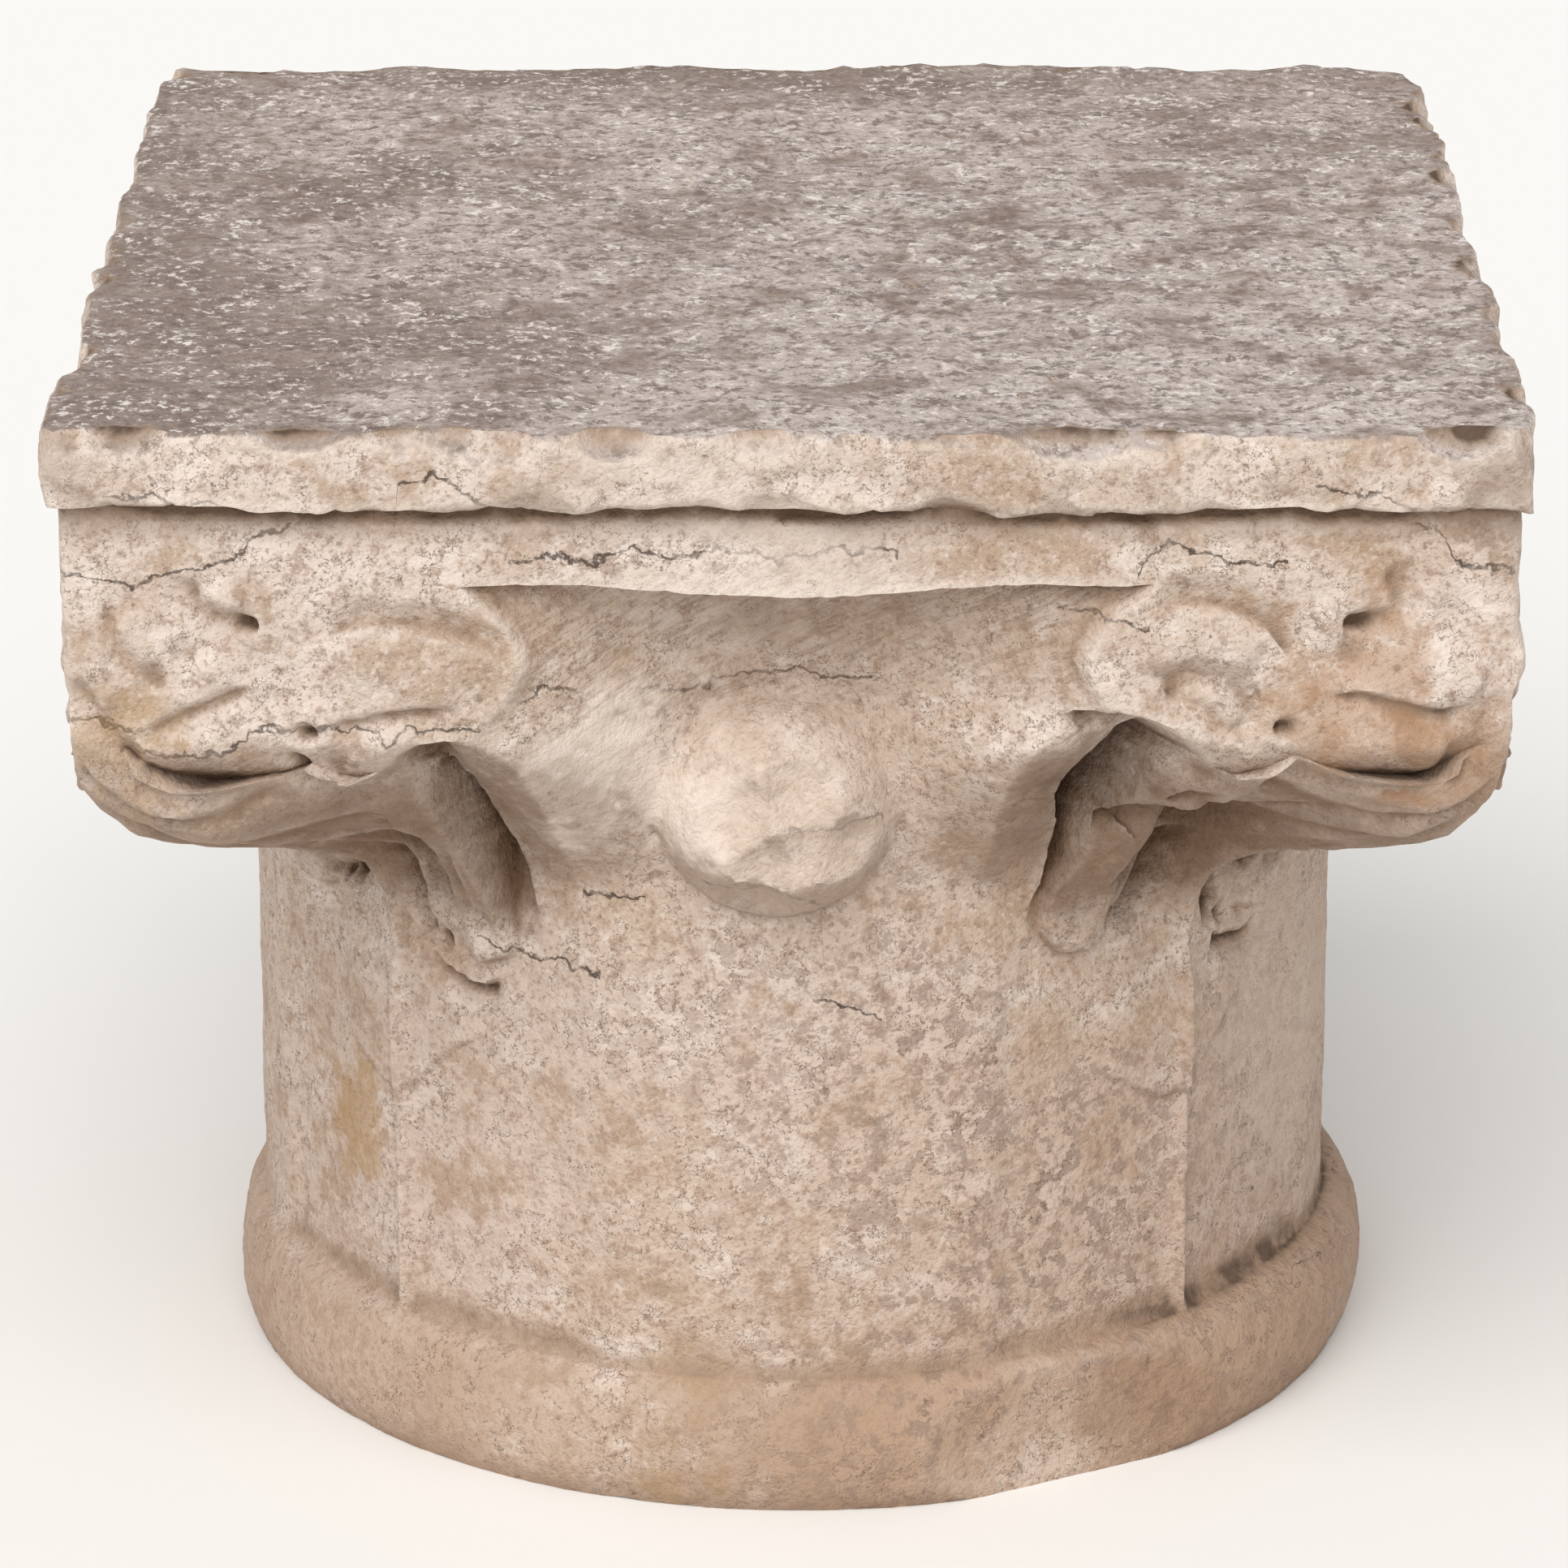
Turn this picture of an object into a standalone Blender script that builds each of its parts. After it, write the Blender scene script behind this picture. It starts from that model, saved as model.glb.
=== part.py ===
"""One carved marble capital: a square abacus slab, four corner leaves, a ball on each side, a round bell
and drum and a half-round foot ring, all cut from one stone. The surface is a radius for each direction and
height, so the whole stone is one closed skin. Front faces -Y, the foot ring stands on z = 0."""

import bpy
import numpy as np

# Driving sizes, in metres
HEIGHT = 0.420
ABACUS_SIDE = 0.508
ABACUS_THICK = 0.029
LEAF_FACE_INSET = 0.006  # how far the leaf faces stand back from the abacus sides
DRUM_RADIUS = 0.203
BELL_FLARE = 0.024  # the bell's growth from the drum to its top
RING_BULGE = 0.013
RING_HEIGHT = 0.049
RING_FILLET = 0.007
RING_SHIFT = 0.003  # the ring was cut a little further right than the drum
DRUM_SHIFT = 0.0015  # and the drum stands a little to the right of the abacus
BAND_HEIGHT = 0.026  # the plain band between the leaves, under the abacus
BAND_INSET = 0.003  # how far the band's middle stands back from the leaf faces
JOINT_HEIGHT = 0.006  # the rough joint between the band and the abacus
JOINT_DEPTH = 0.0032
BALL_RADIUS = 0.0435
BALL_SUNK = 0.010  # how far the ball's centre lies behind the drum's face
BALL_CENTRE = 0.2695
BALL_ASIDE = 0.005  # the balls sit a little to one side
BALL_FILLET = 0.005
PANEL_STEP = 0.003  # the leaf blades lie this far behind the plain panels
BLADE_HOLLOW = 0.0018  # and are cut a little hollow
ARCH_DEPTH = 0.021  # the slope inside the arch, at its back
HOLLOW_DEPTH = 0.005  # the blades sink this much further under the leaf
MIDRIB = 0.0035
TONGUE = 0.002  # the middle leaf's hanging tip stands this proud of the drum
ARRIS_SOFTNESS = 0.032  # lower down the arris gives way to a soft slope that starts this far out
WALL_BEHIND = 0.003  # the side wall of the leaf's mass lies this far to either side of its line
WALL_BEFORE = 0.004
RECESS_WIDTH = 0.072  # the curve from the arris down to the bell
SLOPE_WIDTH = 0.090  # the softer slope lower down
DEEPEST_CUT = 0.016
FACE_SQUARENESS = 110  # powers of the rounded squares: 2 is a circle
ABACUS_SQUARENESS = 150
COLUMNS = 150  # per side of the stone, before thinning
TRIANGLES = 9400

# Curves are read off the carving in millimetres on the leaf face, across from the middle and up from
# the foot, and follow the stone when it is made in another size.
CHART_HALF = 244
ACROSS = (ABACUS_SIDE / 2 - LEAF_FACE_INSET) / CHART_HALF
UP = HEIGHT / 420
FACE_HALF = ABACUS_SIDE / 2 - LEAF_FACE_INSET
SLAB_FOOT = HEIGHT - ABACUS_THICK

# Where the leaf ends, per height or per place across, for the left and the right half of a side
LEAVES = {
    "left": {
        "arris": ((79, 300), (80, 317), (86, 329), (92, 340), (97, 348), (102, 354), (109, 361), (114, 366)),
        "bevel": ((79, 40), (79, 154), (80, 169), (86, 198), (93, 226), (98, 234), (99, 242), (97, 254),
                  (95, 262),
                  (94, 271), (94, 280), (95, 288), (96, 294), (99, 300), (103, 304), (109, 306)),
        "edge": ((98, 40), (100, 95), (103, 136), (108, 171), (112, 188), (117, 206), (124, 226), (127, 238),
                 (128, 245), (129, 253), (129, 260), (128, 268), (127, 275), (127, 281), (129, 286),
                 (131, 290),
                 (137, 297), (150, 303)),
        "mass": ((136, 195), (139, 213), (139, 230), (139, 245), (137, 262), (135, 272), (133, 283),
                 (133, 291),
                 (136, 306)),
        "lip": ((0, 306), (90, 304), (103, 307), (116, 308), (126, 306), (135, 301), (143, 295), (150, 292),
                (157, 292), (165, 298), (175, 294), (192, 291), (207, 289), (218, 295), (230, 304),
                (244, 310)),
        "toe": ((130, 208), (140, 200), (160, 195), (185, 199), (200, 195), (220, 170), (244, 137)),
    },
    "right": {
        "arris": ((78, 300), (90, 318), (96, 328), (101, 338), (105, 347), (110, 354), (118, 359),
                  (125, 364)),
        "bevel": ((89, 40), (89, 185), (86, 225), (83, 258), (81, 271), (81, 281), (82, 287), (85, 295),
                  (88, 302),
                  (94, 311), (99, 315), (107, 317)),
        "edge": ((100, 40), (100, 150), (104, 190), (112, 212), (114, 222), (118, 232), (120, 242),
                 (119, 252),
                 (117, 260), (113, 267), (110, 274), (109, 281), (110, 287), (113, 294), (118, 300),
                 (125, 305),
                 (135, 308)),
        "mass": ((123, 195), (122, 209), (118, 218), (119, 226), (122, 233), (127, 242), (127, 251),
                 (126, 261),
                 (127, 267), (129, 273), (131, 283), (133, 293), (138, 300), (146, 306)),
        "lip": ((0, 306), (59, 308), (84, 312), (96, 318), (108, 319), (118, 317), (127, 313), (136, 306),
                (146, 297), (154, 293), (163, 295), (173, 302), (182, 298), (192, 295), (207, 293),
                (222, 292), (232, 302),
                (244, 310)),
        "toe": ((117, 216), (122, 209), (132, 203), (146, 202), (158, 204), (167, 208), (173, 216),
                (183, 221),
                (194, 227), (203, 228), (216, 200), (244, 137)),
    },
}
# How a leaf's underside comes out of the drum on the diagonal: share of the rise, share of the overhang
UNDERSIDE = ((0, 0), (0.33, 0.01), (0.44, 0.053), (0.515, 0.12), (0.57, 0.237), (0.62, 0.41), (0.665, 0.594),
             (0.71, 0.739), (0.75, 0.836), (0.815, 0.913), (0.88, 0.97), (1, 1))

# Carving: half of the side, kind, height and width in millimetres, then the curve. A lip's cut lies below
# its curve when the curve runs towards the corner, and above it when it runs away from the corner.
CARVING = (
    # left leaf, from the lip down to the foot of the face
    ("left", "lip", 5.0, 12, ((112, 307), (126, 306), (135, 301), (143, 295), (150, 291), (157, 292),
                              (165, 297))),
    ("left", "lip", 2.8, 8, ((168, 301), (178, 294), (188, 291), (200, 289), (209, 289), (217, 293),
                             (224, 299),
                             (230, 307))),
    ("left", "lip", 4.2, 7, ((174, 292), (185, 288), (197, 281), (208, 278), (219, 280), (228, 285),
                             (237, 293),
                             (242, 301))),
    ("left", "lip", 5.0, 8, ((148, 273), (165, 271), (180, 269), (192, 266), (204, 263), (216, 265),
                             (227, 270),
                             (238, 279), (243, 285))),
    ("left", "ridge", 1.8, 5, ((178, 282), (196, 275), (208, 272), (220, 274), (232, 282))),
    ("left", "lip", 6.5, 11, ((143, 218), (152, 221), (153, 229), (151, 241), (148, 251), (152, 257),
                              (159, 261),
                              (170, 264), (184, 262))),
    ("left", "ridge", 3.0, 4, ((134, 286), (136, 270), (138, 256), (140, 244), (142, 232), (139, 221),
                               (134, 212))),
    ("left", "lip", 7.0, 11, ((176, 209), (175, 218), (174, 225), (178, 233), (183, 241), (188, 246),
                              (205, 250),
                              (222, 253), (236, 256))),
    ("left", "lip", 6.0, 10, ((201, 197), (202, 205), (207, 211), (209, 218), (212, 226), (213, 234),
                              (221, 239),
                              (236, 243))),
    ("left", "groove", 3.0, 5, ((243, 236), (240, 222), (240, 208), (234, 190))),
    ("left", "lip", 3.0, 6, ((146, 191), (158, 187), (170, 186), (185, 188), (197, 191), (206, 196))),
    ("left", "groove", 1.6, 4, ((166, 193), (172, 197), (182, 200), (194, 202))),
    ("left", "dish", 2.0, 8, ((148, 207), (154, 209))),
    ("left", "pit", 7.0, 3.5, ((197, 200), (194, 199))),
    # left leaf face: the long lobe beside the bell, with a hollow over it and a fold under it
    ("left", "lip", 2.6, 9, ((162, 339), (152, 345), (143, 348), (129, 347), (114, 344), (101, 339),
                             (91, 334))),
    ("left", "ridge", 2.8, 9, ((160, 328), (146, 333), (130, 334), (114, 330), (100, 324))),
    ("left", "lip", 2.4, 7, ((108, 321), (124, 320), (135, 319), (142, 317), (151, 315), (160, 311))),
    ("left", "ridge", 2.2, 6, ((120, 313), (134, 310), (146, 304), (156, 300))),
    # the hook, its drill holes, the curl and the outer lobes
    ("left", "groove", 4.4, 4, ((203, 369), (201, 359), (197, 353), (189, 350), (183, 349))),
    ("left", "pit", 8.0, 2.6, ((185, 350), (182, 349))),
    ("left", "ridge", 2.0, 5, ((194, 366), (190, 359), (182, 357))),
    ("left", "groove", 2.8, 3.5, ((206, 333), (203, 339), (198, 342), (192, 343), (185, 340), (177, 339))),
    ("left", "ridge", 2.4, 5, ((198, 332), (192, 336), (184, 333))),
    ("left", "pit", 8.0, 2.6, ((166, 310), (163, 310))),
    ("left", "pit", 7.0, 3.4, ((170, 299), (169, 293))),
    ("left", "lip", 2.2, 7, ((234, 360), (231, 348), (226, 337), (217, 328), (206, 323))),
    ("left", "ridge", 2.8, 7, ((224, 356), (218, 344), (211, 335))),
    ("left", "ridge", 2.6, 8, ((240, 345), (234, 331), (224, 319))),
    ("left", "groove", 4.2, 4, ((240, 332), (237, 322), (233, 313), (228, 305), (221, 299))),
    ("left", "lip", 2.4, 7, ((181, 329), (190, 326), (203, 320), (213, 315), (221, 309))),
    ("left", "ridge", 3.0, 7, ((222, 305), (210, 300), (198, 300), (186, 303))),
    ("left", "groove", 2.4, 4, ((184, 319), (177, 321), (168, 322))),
    ("left", "groove", 3.0, 3.5, ((161, 293), (156, 298), (149, 303), (142, 306))),
    ("left", "dish", 2.2, 9, ((176, 334), (168, 328))),
    # right leaf, from the lip down
    ("right", "lip", 5.0, 13, ((91, 312), (101, 317), (115, 317), (125, 313), (136, 306), (146, 297),
                               (154, 293),
                               (164, 297))),
    ("right", "lip", 2.8, 8, ((168, 304), (176, 301), (183, 296), (198, 293), (211, 292), (224, 294),
                              (232, 302),
                              (238, 312))),
    ("right", "lip", 4.2, 7, ((166, 291), (174, 291), (184, 286), (195, 281), (208, 278), (220, 281),
                              (233, 287),
                              (242, 296))),
    ("right", "lip", 5.0, 8, ((150, 280), (163, 277), (180, 272), (195, 267), (209, 264), (220, 266),
                              (231, 272),
                              (242, 283))),
    ("right", "lip", 7.5, 12, ((130, 250), (129, 262), (131, 269), (137, 272), (146, 273), (158, 271),
                               (174, 266),
                               (192, 262), (214, 258))),
    ("right", "lip", 6.5, 10, ((153, 228), (156, 236), (160, 245), (167, 252), (176, 255), (186, 256),
                               (198, 255),
                               (216, 253))),
    ("right", "lip", 6.0, 9, ((167, 212), (176, 219), (188, 224), (197, 230), (205, 236), (214, 242),
                              (226, 247))),
    ("right", "groove", 1.8, 4, ((124, 223), (128, 228), (138, 230), (148, 228), (156, 221))),
    ("right", "ridge", 3.0, 4, ((140, 279), (129, 274), (124, 265), (124, 252), (124, 242), (118, 232),
                                (115, 222))),
    ("right", "dish", 6.0, 7, ((121, 278), (128, 284))),
    ("right", "lip", 4.0, 5, ((142, 276), (146, 281), (151, 283), (157, 282), (162, 277))),
    ("right", "groove", 2.2, 4, ((142, 291), (147, 294), (153, 293))),
    ("right", "pit", 6.0, 3.5, ((164, 213), (168, 213))),
    # right leaf face: hook, holes and the fingered lobes
    ("right", "pit", 8.0, 3.2, ((195, 350), (190, 350))),
    ("right", "dish", 4.0, 6, ((192, 343), (190, 341))),
    ("right", "groove", 4.5, 3.5, ((190, 352), (201, 352), (205, 357), (204, 364), (199, 372))),
    ("right", "ridge", 2.2, 5, ((212, 366), (212, 354), (203, 346))),
    ("right", "pit", 8.0, 3.0, ((169, 312), (167, 312))),
    ("right", "lip", 2.8, 9, ((170, 333), (165, 341), (159, 348), (146, 354), (131, 355), (118, 352))),
    ("right", "ridge", 2.8, 9, ((158, 334), (146, 341), (130, 342), (112, 337))),
    ("right", "groove", 3.6, 4, ((114, 331), (131, 330), (146, 329), (155, 321), (158, 314))),
    ("right", "ridge", 2.4, 4, ((128, 325), (140, 323), (149, 318), (152, 312))),
    ("right", "groove", 3.8, 4, ((123, 327), (131, 324), (138, 319), (143, 314), (147, 307))),
    ("right", "ridge", 2.2, 4, ((128, 317), (136, 312), (142, 305))),
    ("right", "groove", 3.0, 4, ((150, 306), (155, 314), (163, 314))),
    ("right", "lip", 2.6, 7, ((178, 323), (192, 326), (206, 322), (219, 320), (230, 322))),
    ("right", "groove", 3.0, 4, ((170, 337), (178, 337), (185, 334), (192, 337), (200, 334))),
    ("right", "ridge", 3.4, 8, ((180, 308), (196, 304), (212, 303), (226, 305))),
    ("right", "groove", 3.3, 4, ((238, 328), (235, 316), (231, 304), (223, 295))),
    ("right", "ridge", 3.0, 7, ((206, 338), (222, 334), (234, 328))),
    ("right", "dish", 3.0, 9, ((222, 352), (230, 342))),
)
# The foot of the middle leaf's tip: degrees off the diagonal, height in millimetres
TONGUE_FOOT = ((-10, 150), (-3.5, 137), (-1.4, 136), (1, 138), (2.9, 143), (4.7, 150), (6.9, 157), (9.9, 164))
# Broken places: the direction each break faces, and how far from the stone's middle it lies, in millimetres
BREAKS = (
    ("slab", (1.0, -0.8, 0.10), 382.6),
    ("slab", (0.7, -1.0, 0.45), 467.2),
    ("slab", (-1.0, -0.9, 0.5), 475.6),
    ("slab", (1.0, 0.8, 0.45), 462.1),
    ("slab", (-1.0, 1.0, 0.60), 486.7),
    ("ring", (0.47, -0.88, 0.0), 209.5),
    ("ring", (0.47, -0.88, -0.40), 195.5),
)
# Scoops off the front ball: where each one's middle lies from the ball's, and its radius, in millimetres
BALL_SCOOPS = (
    ((14, -66, 16), 33),
    ((21, -68, -11), 35),
    ((-3, -66, -20), 32),
    ((-20, -64, 5), 31),
    ((40, -56, -14), 32),
    ((-13, -45, -51), 32),
    ((-34, -55, 25), 29),
)


def smooth(start, end, value):
    share = np.clip((value - start) / (end - start), 0, 1)
    return share * share * (3 - 2 * share)


def squircle(angle, half, power):
    """Radius of a square with rounded corners."""
    c, s = np.abs(np.cos(angle)), np.abs(np.sin(angle))
    return half / (c**power + s**power) ** (1 / power)


def joined(a, b, fillet):
    """The outer of two forms, with a soft hollow of the given size where they meet."""
    return np.maximum(a, b) + 0.25 * fillet * np.clip(1 - np.abs(a - b) / fillet, 0, 1) ** 2


def across_at(curve, z):
    points = np.array(curve, float)
    return np.interp(z / UP, points[:, 1], points[:, 0]) * ACROSS


def height_at(curve, x):
    points = np.array(curve, float)
    return np.interp(x / ACROSS, points[:, 0], points[:, 1]) * UP


def rounded(curve, steps=6):
    """The curve's points joined by a smooth line through all of them."""
    points = np.array(curve, float)
    ends = np.vstack([2 * points[0] - points[1], points, 2 * points[-1] - points[-2]])
    line = []
    for a, b, c, d in zip(ends, ends[1:], ends[2:], ends[3:]):
        for t in np.arange(steps) / steps:
            bend = (2 * a - 5 * b + 4 * c - d) * t**2 + (3 * b - a - 3 * c + d) * t**3
            line.append(0.5 * (2 * b + (c - a) * t + bend))
    return np.array(line + [points[-1]])


def measure(curve, x, z, reach):
    """For places within reach of the curve: which they are, their distance, side and share along it."""
    line = rounded(curve) * (ACROSS, UP)
    low, high = line.min(axis=0) - reach, line.max(axis=0) + reach
    near = np.flatnonzero((x > low[0]) & (x < high[0]) & (z > low[1]) & (z < high[1]))
    px, pz = x[near], z[near]
    best, side, along = np.full(len(near), 9.0), np.zeros(len(near)), np.zeros(len(near))
    for i, (start, end) in enumerate(zip(line, line[1:])):
        step = end - start
        t = np.clip(((px - start[0]) * step[0] + (pz - start[1]) * step[1]) / (step @ step), 0, 1)
        dx, dz = px - start[0] - t * step[0], pz - start[1] - t * step[1]
        distance = np.hypot(dx, dz)
        closer = distance < best
        best[closer] = distance[closer]
        side[closer] = np.sign(step[0] * dz - step[1] * dx)[closer]
        along[closer] = ((i + t) / (len(line) - 1))[closer]
    return near, best, side, along


def carve(kind, height, width, curve, x, z):
    """How far one stroke of the carving raises the surface at each place."""
    height, width = height / 1000, width / 1000
    near, distance, side, along = measure(curve, x, z, 3 * width)
    # a stroke dies away at its ends, unless it runs on round the stone's corner
    starts, ends = (abs(point[0]) < CHART_HALF for point in (curve[0], curve[-1]))
    fade = np.where(starts, smooth(0, 0.22, along), 1) * np.where(ends, smooth(1, 0.78, along), 1)
    bell = np.exp(-((distance / width) ** 2))
    if kind == "lip":
        # out a little on one hand, in on the other
        crisp = 1 - np.exp(-distance / 0.0009)
        change = 2 * height * fade * bell * crisp * np.where(side >= 0, 0.12, -1.0)
    elif kind in ("pit", "dish"):
        change = -height * bell
    else:
        soft = np.exp(-((distance / (2.4 * width)) ** 2))
        change = height * fade * (0.7 * bell + 0.45 * soft) * (1 if kind == "ridge" else -1)
    raised = np.zeros(len(x))
    raised[near] = change
    return raised


def band_edge(x):
    """Height of the plain band's lower edge, which sags a little in the middle."""
    return SLAB_FOOT - 0.007 - BAND_HEIGHT + 5 * UP * smooth(0, 95 * ACROSS, x)


def outer_face(leaf, angle, x, z):
    """The bell, the leaf's flat face and the slope between them, above and beside the arch."""
    face = squircle(angle, FACE_HALF, FACE_SQUARENESS)
    grown = 0.12 * smooth(230 * UP, 310 * UP, z) + 0.88 * np.clip((z - 306 * UP) / (56 * UP), 0, 1) ** 1.5
    bell = squircle(angle, DRUM_RADIUS + BELL_FLARE * grown, 2 + 4.5 * grown)
    # the leaf's face ends at the arris, crisp at the top, and falls away to the bell
    crisp = smooth(300 * UP, 340 * UP, z)
    inward = across_at(leaf["arris"], z) + ARRIS_SOFTNESS * (1 - crisp) - x
    curve = np.sin(np.clip(inward / RECESS_WIDTH, 0, 1) * np.pi / 2)
    cut_in = 0.18 * smooth(0, 0.004, inward) + 0.82 * curve
    fall = crisp * cut_in + (1 - crisp) * smooth(0, SLOPE_WIDTH, inward)
    return bell + (face - bell) * (1 - fall) * smooth(228 * UP, 312 * UP, z)


def leaf_half(leaf, angle, x, z):
    """Radius over one half of a side, from the middle to the corner, without the carved strokes."""
    face = squircle(angle, FACE_HALF, FACE_SQUARENESS)
    side = outer_face(leaf, angle, x, z)
    # the combed strip inside the arch slopes back from its outer line and ends in a crisp step to the blade
    bevel, edge, mass = (across_at(leaf[name], z) for name in ("bevel", "edge", "mass"))
    deep = smooth(228 * UP, 285 * UP, z)
    sloped = np.clip((x - bevel) / (edge - bevel), 0, 1)
    strip = side - (0.002 * smooth(0, 1, sloped) + (ARCH_DEPTH - 0.002) * deep * sloped)
    blade = squircle(angle, DRUM_RADIUS, 2) - PANEL_STEP - HOLLOW_DEPTH * smooth(205 * UP, 250 * UP, z)
    blade = blade - BLADE_HOLLOW * np.sin(np.pi * np.clip((x - edge) / (FACE_HALF - edge), 0, 1))
    lip = height_at(leaf["lip"], x)
    crisp = 0.001 + 0.003 * smooth(240 * UP, 190 * UP, z)
    inner = strip + (blade - strip) * smooth(edge - crisp, edge + 1.6 * crisp, x)
    # the mass of the leaf's underside, growing out of the drum
    toe = height_at(leaf["toe"], x)
    rise = np.clip((z - toe) / (lip - toe), 0, 1)
    steps = np.array(UNDERSIDE)
    corner = smooth(np.radians(31), np.radians(42), angle)
    foot = 0.07 * (1 - corner) * smooth(toe - 0.001, toe + 0.002, z)
    near = foot + (1 - 0.07 * (1 - corner)) * rise**1.7
    out = near + (np.interp(rise, steps[:, 0], steps[:, 1]) - near) * corner
    under = blade + (face - blade) * out
    wall = smooth(mass - WALL_BEHIND, mass + WALL_BEFORE, x)
    below = inner + (np.maximum(under, blade) - inner) * wall
    return np.where(z >= lip, side, below)


def ring_radius(turn, z):
    """The half-round foot ring, turned in below. It stands higher on the right than on the left."""
    right = np.sin(turn)
    crest = RING_HEIGHT * (0.42 + 0.08 * right)
    up = np.sqrt(np.clip(1 - ((z - crest) / (RING_HEIGHT - crest)) ** 2, 0, 1))
    down = np.sqrt(np.clip(1 - ((crest - z) / (crest * 1.35)) ** 2, 0, 1))
    bulge = np.where(z > crest, up, down)
    base = DRUM_RADIUS - 0.001
    ring = base + (RING_BULGE + 0.001 + RING_SHIFT * right) * bulge
    return np.where(z < RING_HEIGHT, ring, base - (z - RING_HEIGHT) * 1.5)


def hold_behind(radius, sin, cos, z, facing, distance):
    """The radius held behind a plane, given by the way it faces and its distance in millimetres."""
    n = np.array(facing) / np.linalg.norm(facing)
    slope = n[0] * sin - n[1] * cos
    limit = (distance / 1000 - n[2] * z) / np.where(slope > 0.05, slope, np.inf)
    return np.where(slope > 0.05, np.minimum(radius, limit), radius)


def scooped(radius, sin, cos, z, centre, size):
    """The radius with a round scoop taken out of what lies in front."""
    reach = sin * centre[0] - cos * centre[1]
    inside = size**2 - (centre[0] ** 2 + centre[1] ** 2 - reach**2) - (z - centre[2]) ** 2
    half = np.sqrt(np.maximum(inside, 0))
    return np.where((inside > 0) & (radius > reach - half) & (radius < reach + half), reach - half, radius)


def with_ball(radius, side, sin, cos, z):
    """The radius with the ball on the middle of the side. The front ball has lost some flakes."""
    facing = side * np.pi / 2
    middle = np.array([np.sin(facing), -np.cos(facing), 0]) * (DRUM_RADIUS - BALL_SUNK)
    middle = middle + (-BALL_ASIDE * np.cos(facing), 0, BALL_CENTRE * HEIGHT / 0.420)
    reach = sin * middle[0] - cos * middle[1]
    inside = reach**2 - (middle @ middle + z**2 - 2 * z * middle[2] - BALL_RADIUS**2)
    ball = reach + np.sqrt(np.maximum(inside, 0))
    if side == 0:
        for offset, size in BALL_SCOOPS:
            ball = scooped(ball, sin, cos, z, middle + np.array(offset) / 1000, size / 1000)
    return np.where(inside > 0, joined(radius, ball, BALL_FILLET), radius)


def tongue(turn, z):
    """The middle leaf's hanging tip, a low sheet that lies over the drum below each corner."""
    off = np.degrees((turn % (np.pi / 2)) - np.pi / 4)
    foot = np.interp(off, *np.transpose(TONGUE_FOOT)) * UP
    shown = smooth(foot - 0.001, foot + 0.001, z) * smooth(13, 8, np.abs(off))
    return TONGUE * shown * smooth(215 * UP, 165 * UP, z)


def stone_radius(side, u, z):
    """Radius at each place of one side. u runs from -1 at its left corner to 1 at its right corner."""
    angle = np.arctan(np.abs(u))
    x = FACE_HALF * np.abs(u)
    turn = side * np.pi / 2 + np.arctan(u)
    sin, cos = np.sin(turn), np.cos(turn)
    radius = np.empty(len(z))
    for name, half in (("left", u < 0), ("right", u >= 0)):
        radius[half] = leaf_half(LEAVES[name], angle[half], x[half], z[half])
        raised = np.zeros(half.sum())
        for where, kind, height, width, curve in CARVING:
            if where == name:
                raised += carve(kind, height, width, curve, x[half], z[half])
        radius[half] += np.maximum(raised, -DEEPEST_CUT)
    # the plain band between the leaves
    inset = BAND_INSET * smooth(108 * ACROSS, 70 * ACROSS, x)
    band = squircle(angle, FACE_HALF - inset, FACE_SQUARENESS)
    flush = smooth(133 * ACROSS, 110 * ACROSS, x) * (z > band_edge(x))
    radius = radius + (np.maximum(radius, band) - radius) * flush
    midrib = MIDRIB * np.exp(-(((x - FACE_HALF) / (2 * MIDRIB)) ** 2)) * smooth(205 * UP, 160 * UP, z)
    radius = radius + midrib + tongue(turn, z)
    radius = with_ball(radius, side, sin, cos, z)
    # the rough joint below the abacus, then the abacus itself
    joint = JOINT_DEPTH * smooth(235 * ACROSS, 190 * ACROSS, x)
    joint = joint * smooth(SLAB_FOOT - JOINT_HEIGHT - 0.002, SLAB_FOOT - 0.002, z)
    radius = np.where(z < SLAB_FOOT, radius - joint, squircle(angle, ABACUS_SIDE / 2, ABACUS_SQUARENESS))
    with_ring = joined(radius, ring_radius(turn, z), RING_FILLET)
    radius = np.where(z < RING_HEIGHT + RING_FILLET, with_ring, radius)
    radius = radius + DRUM_SHIFT * sin * smooth(290 * UP, 240 * UP, z)
    for part, facing, distance in BREAKS:
        held = z > 300 * UP if part == "slab" else z < RING_HEIGHT
        radius = np.where(held, hold_behind(radius, sin, cos, z, facing, distance), radius)
    return radius, sin, cos


def heights(u):
    """Heights of the rows at each place across: they follow the leaf's lower lip and the band's edge, with
    a close pair of rows wherever the surface steps."""
    x = FACE_HALF * np.abs(u)
    lip = np.where(u < 0, height_at(LEAVES["left"]["lip"], x), height_at(LEAVES["right"]["lip"], x))
    level = 0 * x
    guides = [level, level + RING_HEIGHT, level + 190 * UP, lip, band_edge(x),
              level + SLAB_FOOT - JOINT_HEIGHT, level + SLAB_FOOT - 0.0004, level + HEIGHT]
    counts = (9, 16, 52, 24, 7, 2, 7)
    gap = 0.0008
    levels = []
    for low, high, count in zip(guides, guides[1:], counts):
        start = low + gap * (len(levels) > 0)
        levels += [start + (high - start) * step / count for step in range(count + 1)]
    return np.array(levels)


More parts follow.
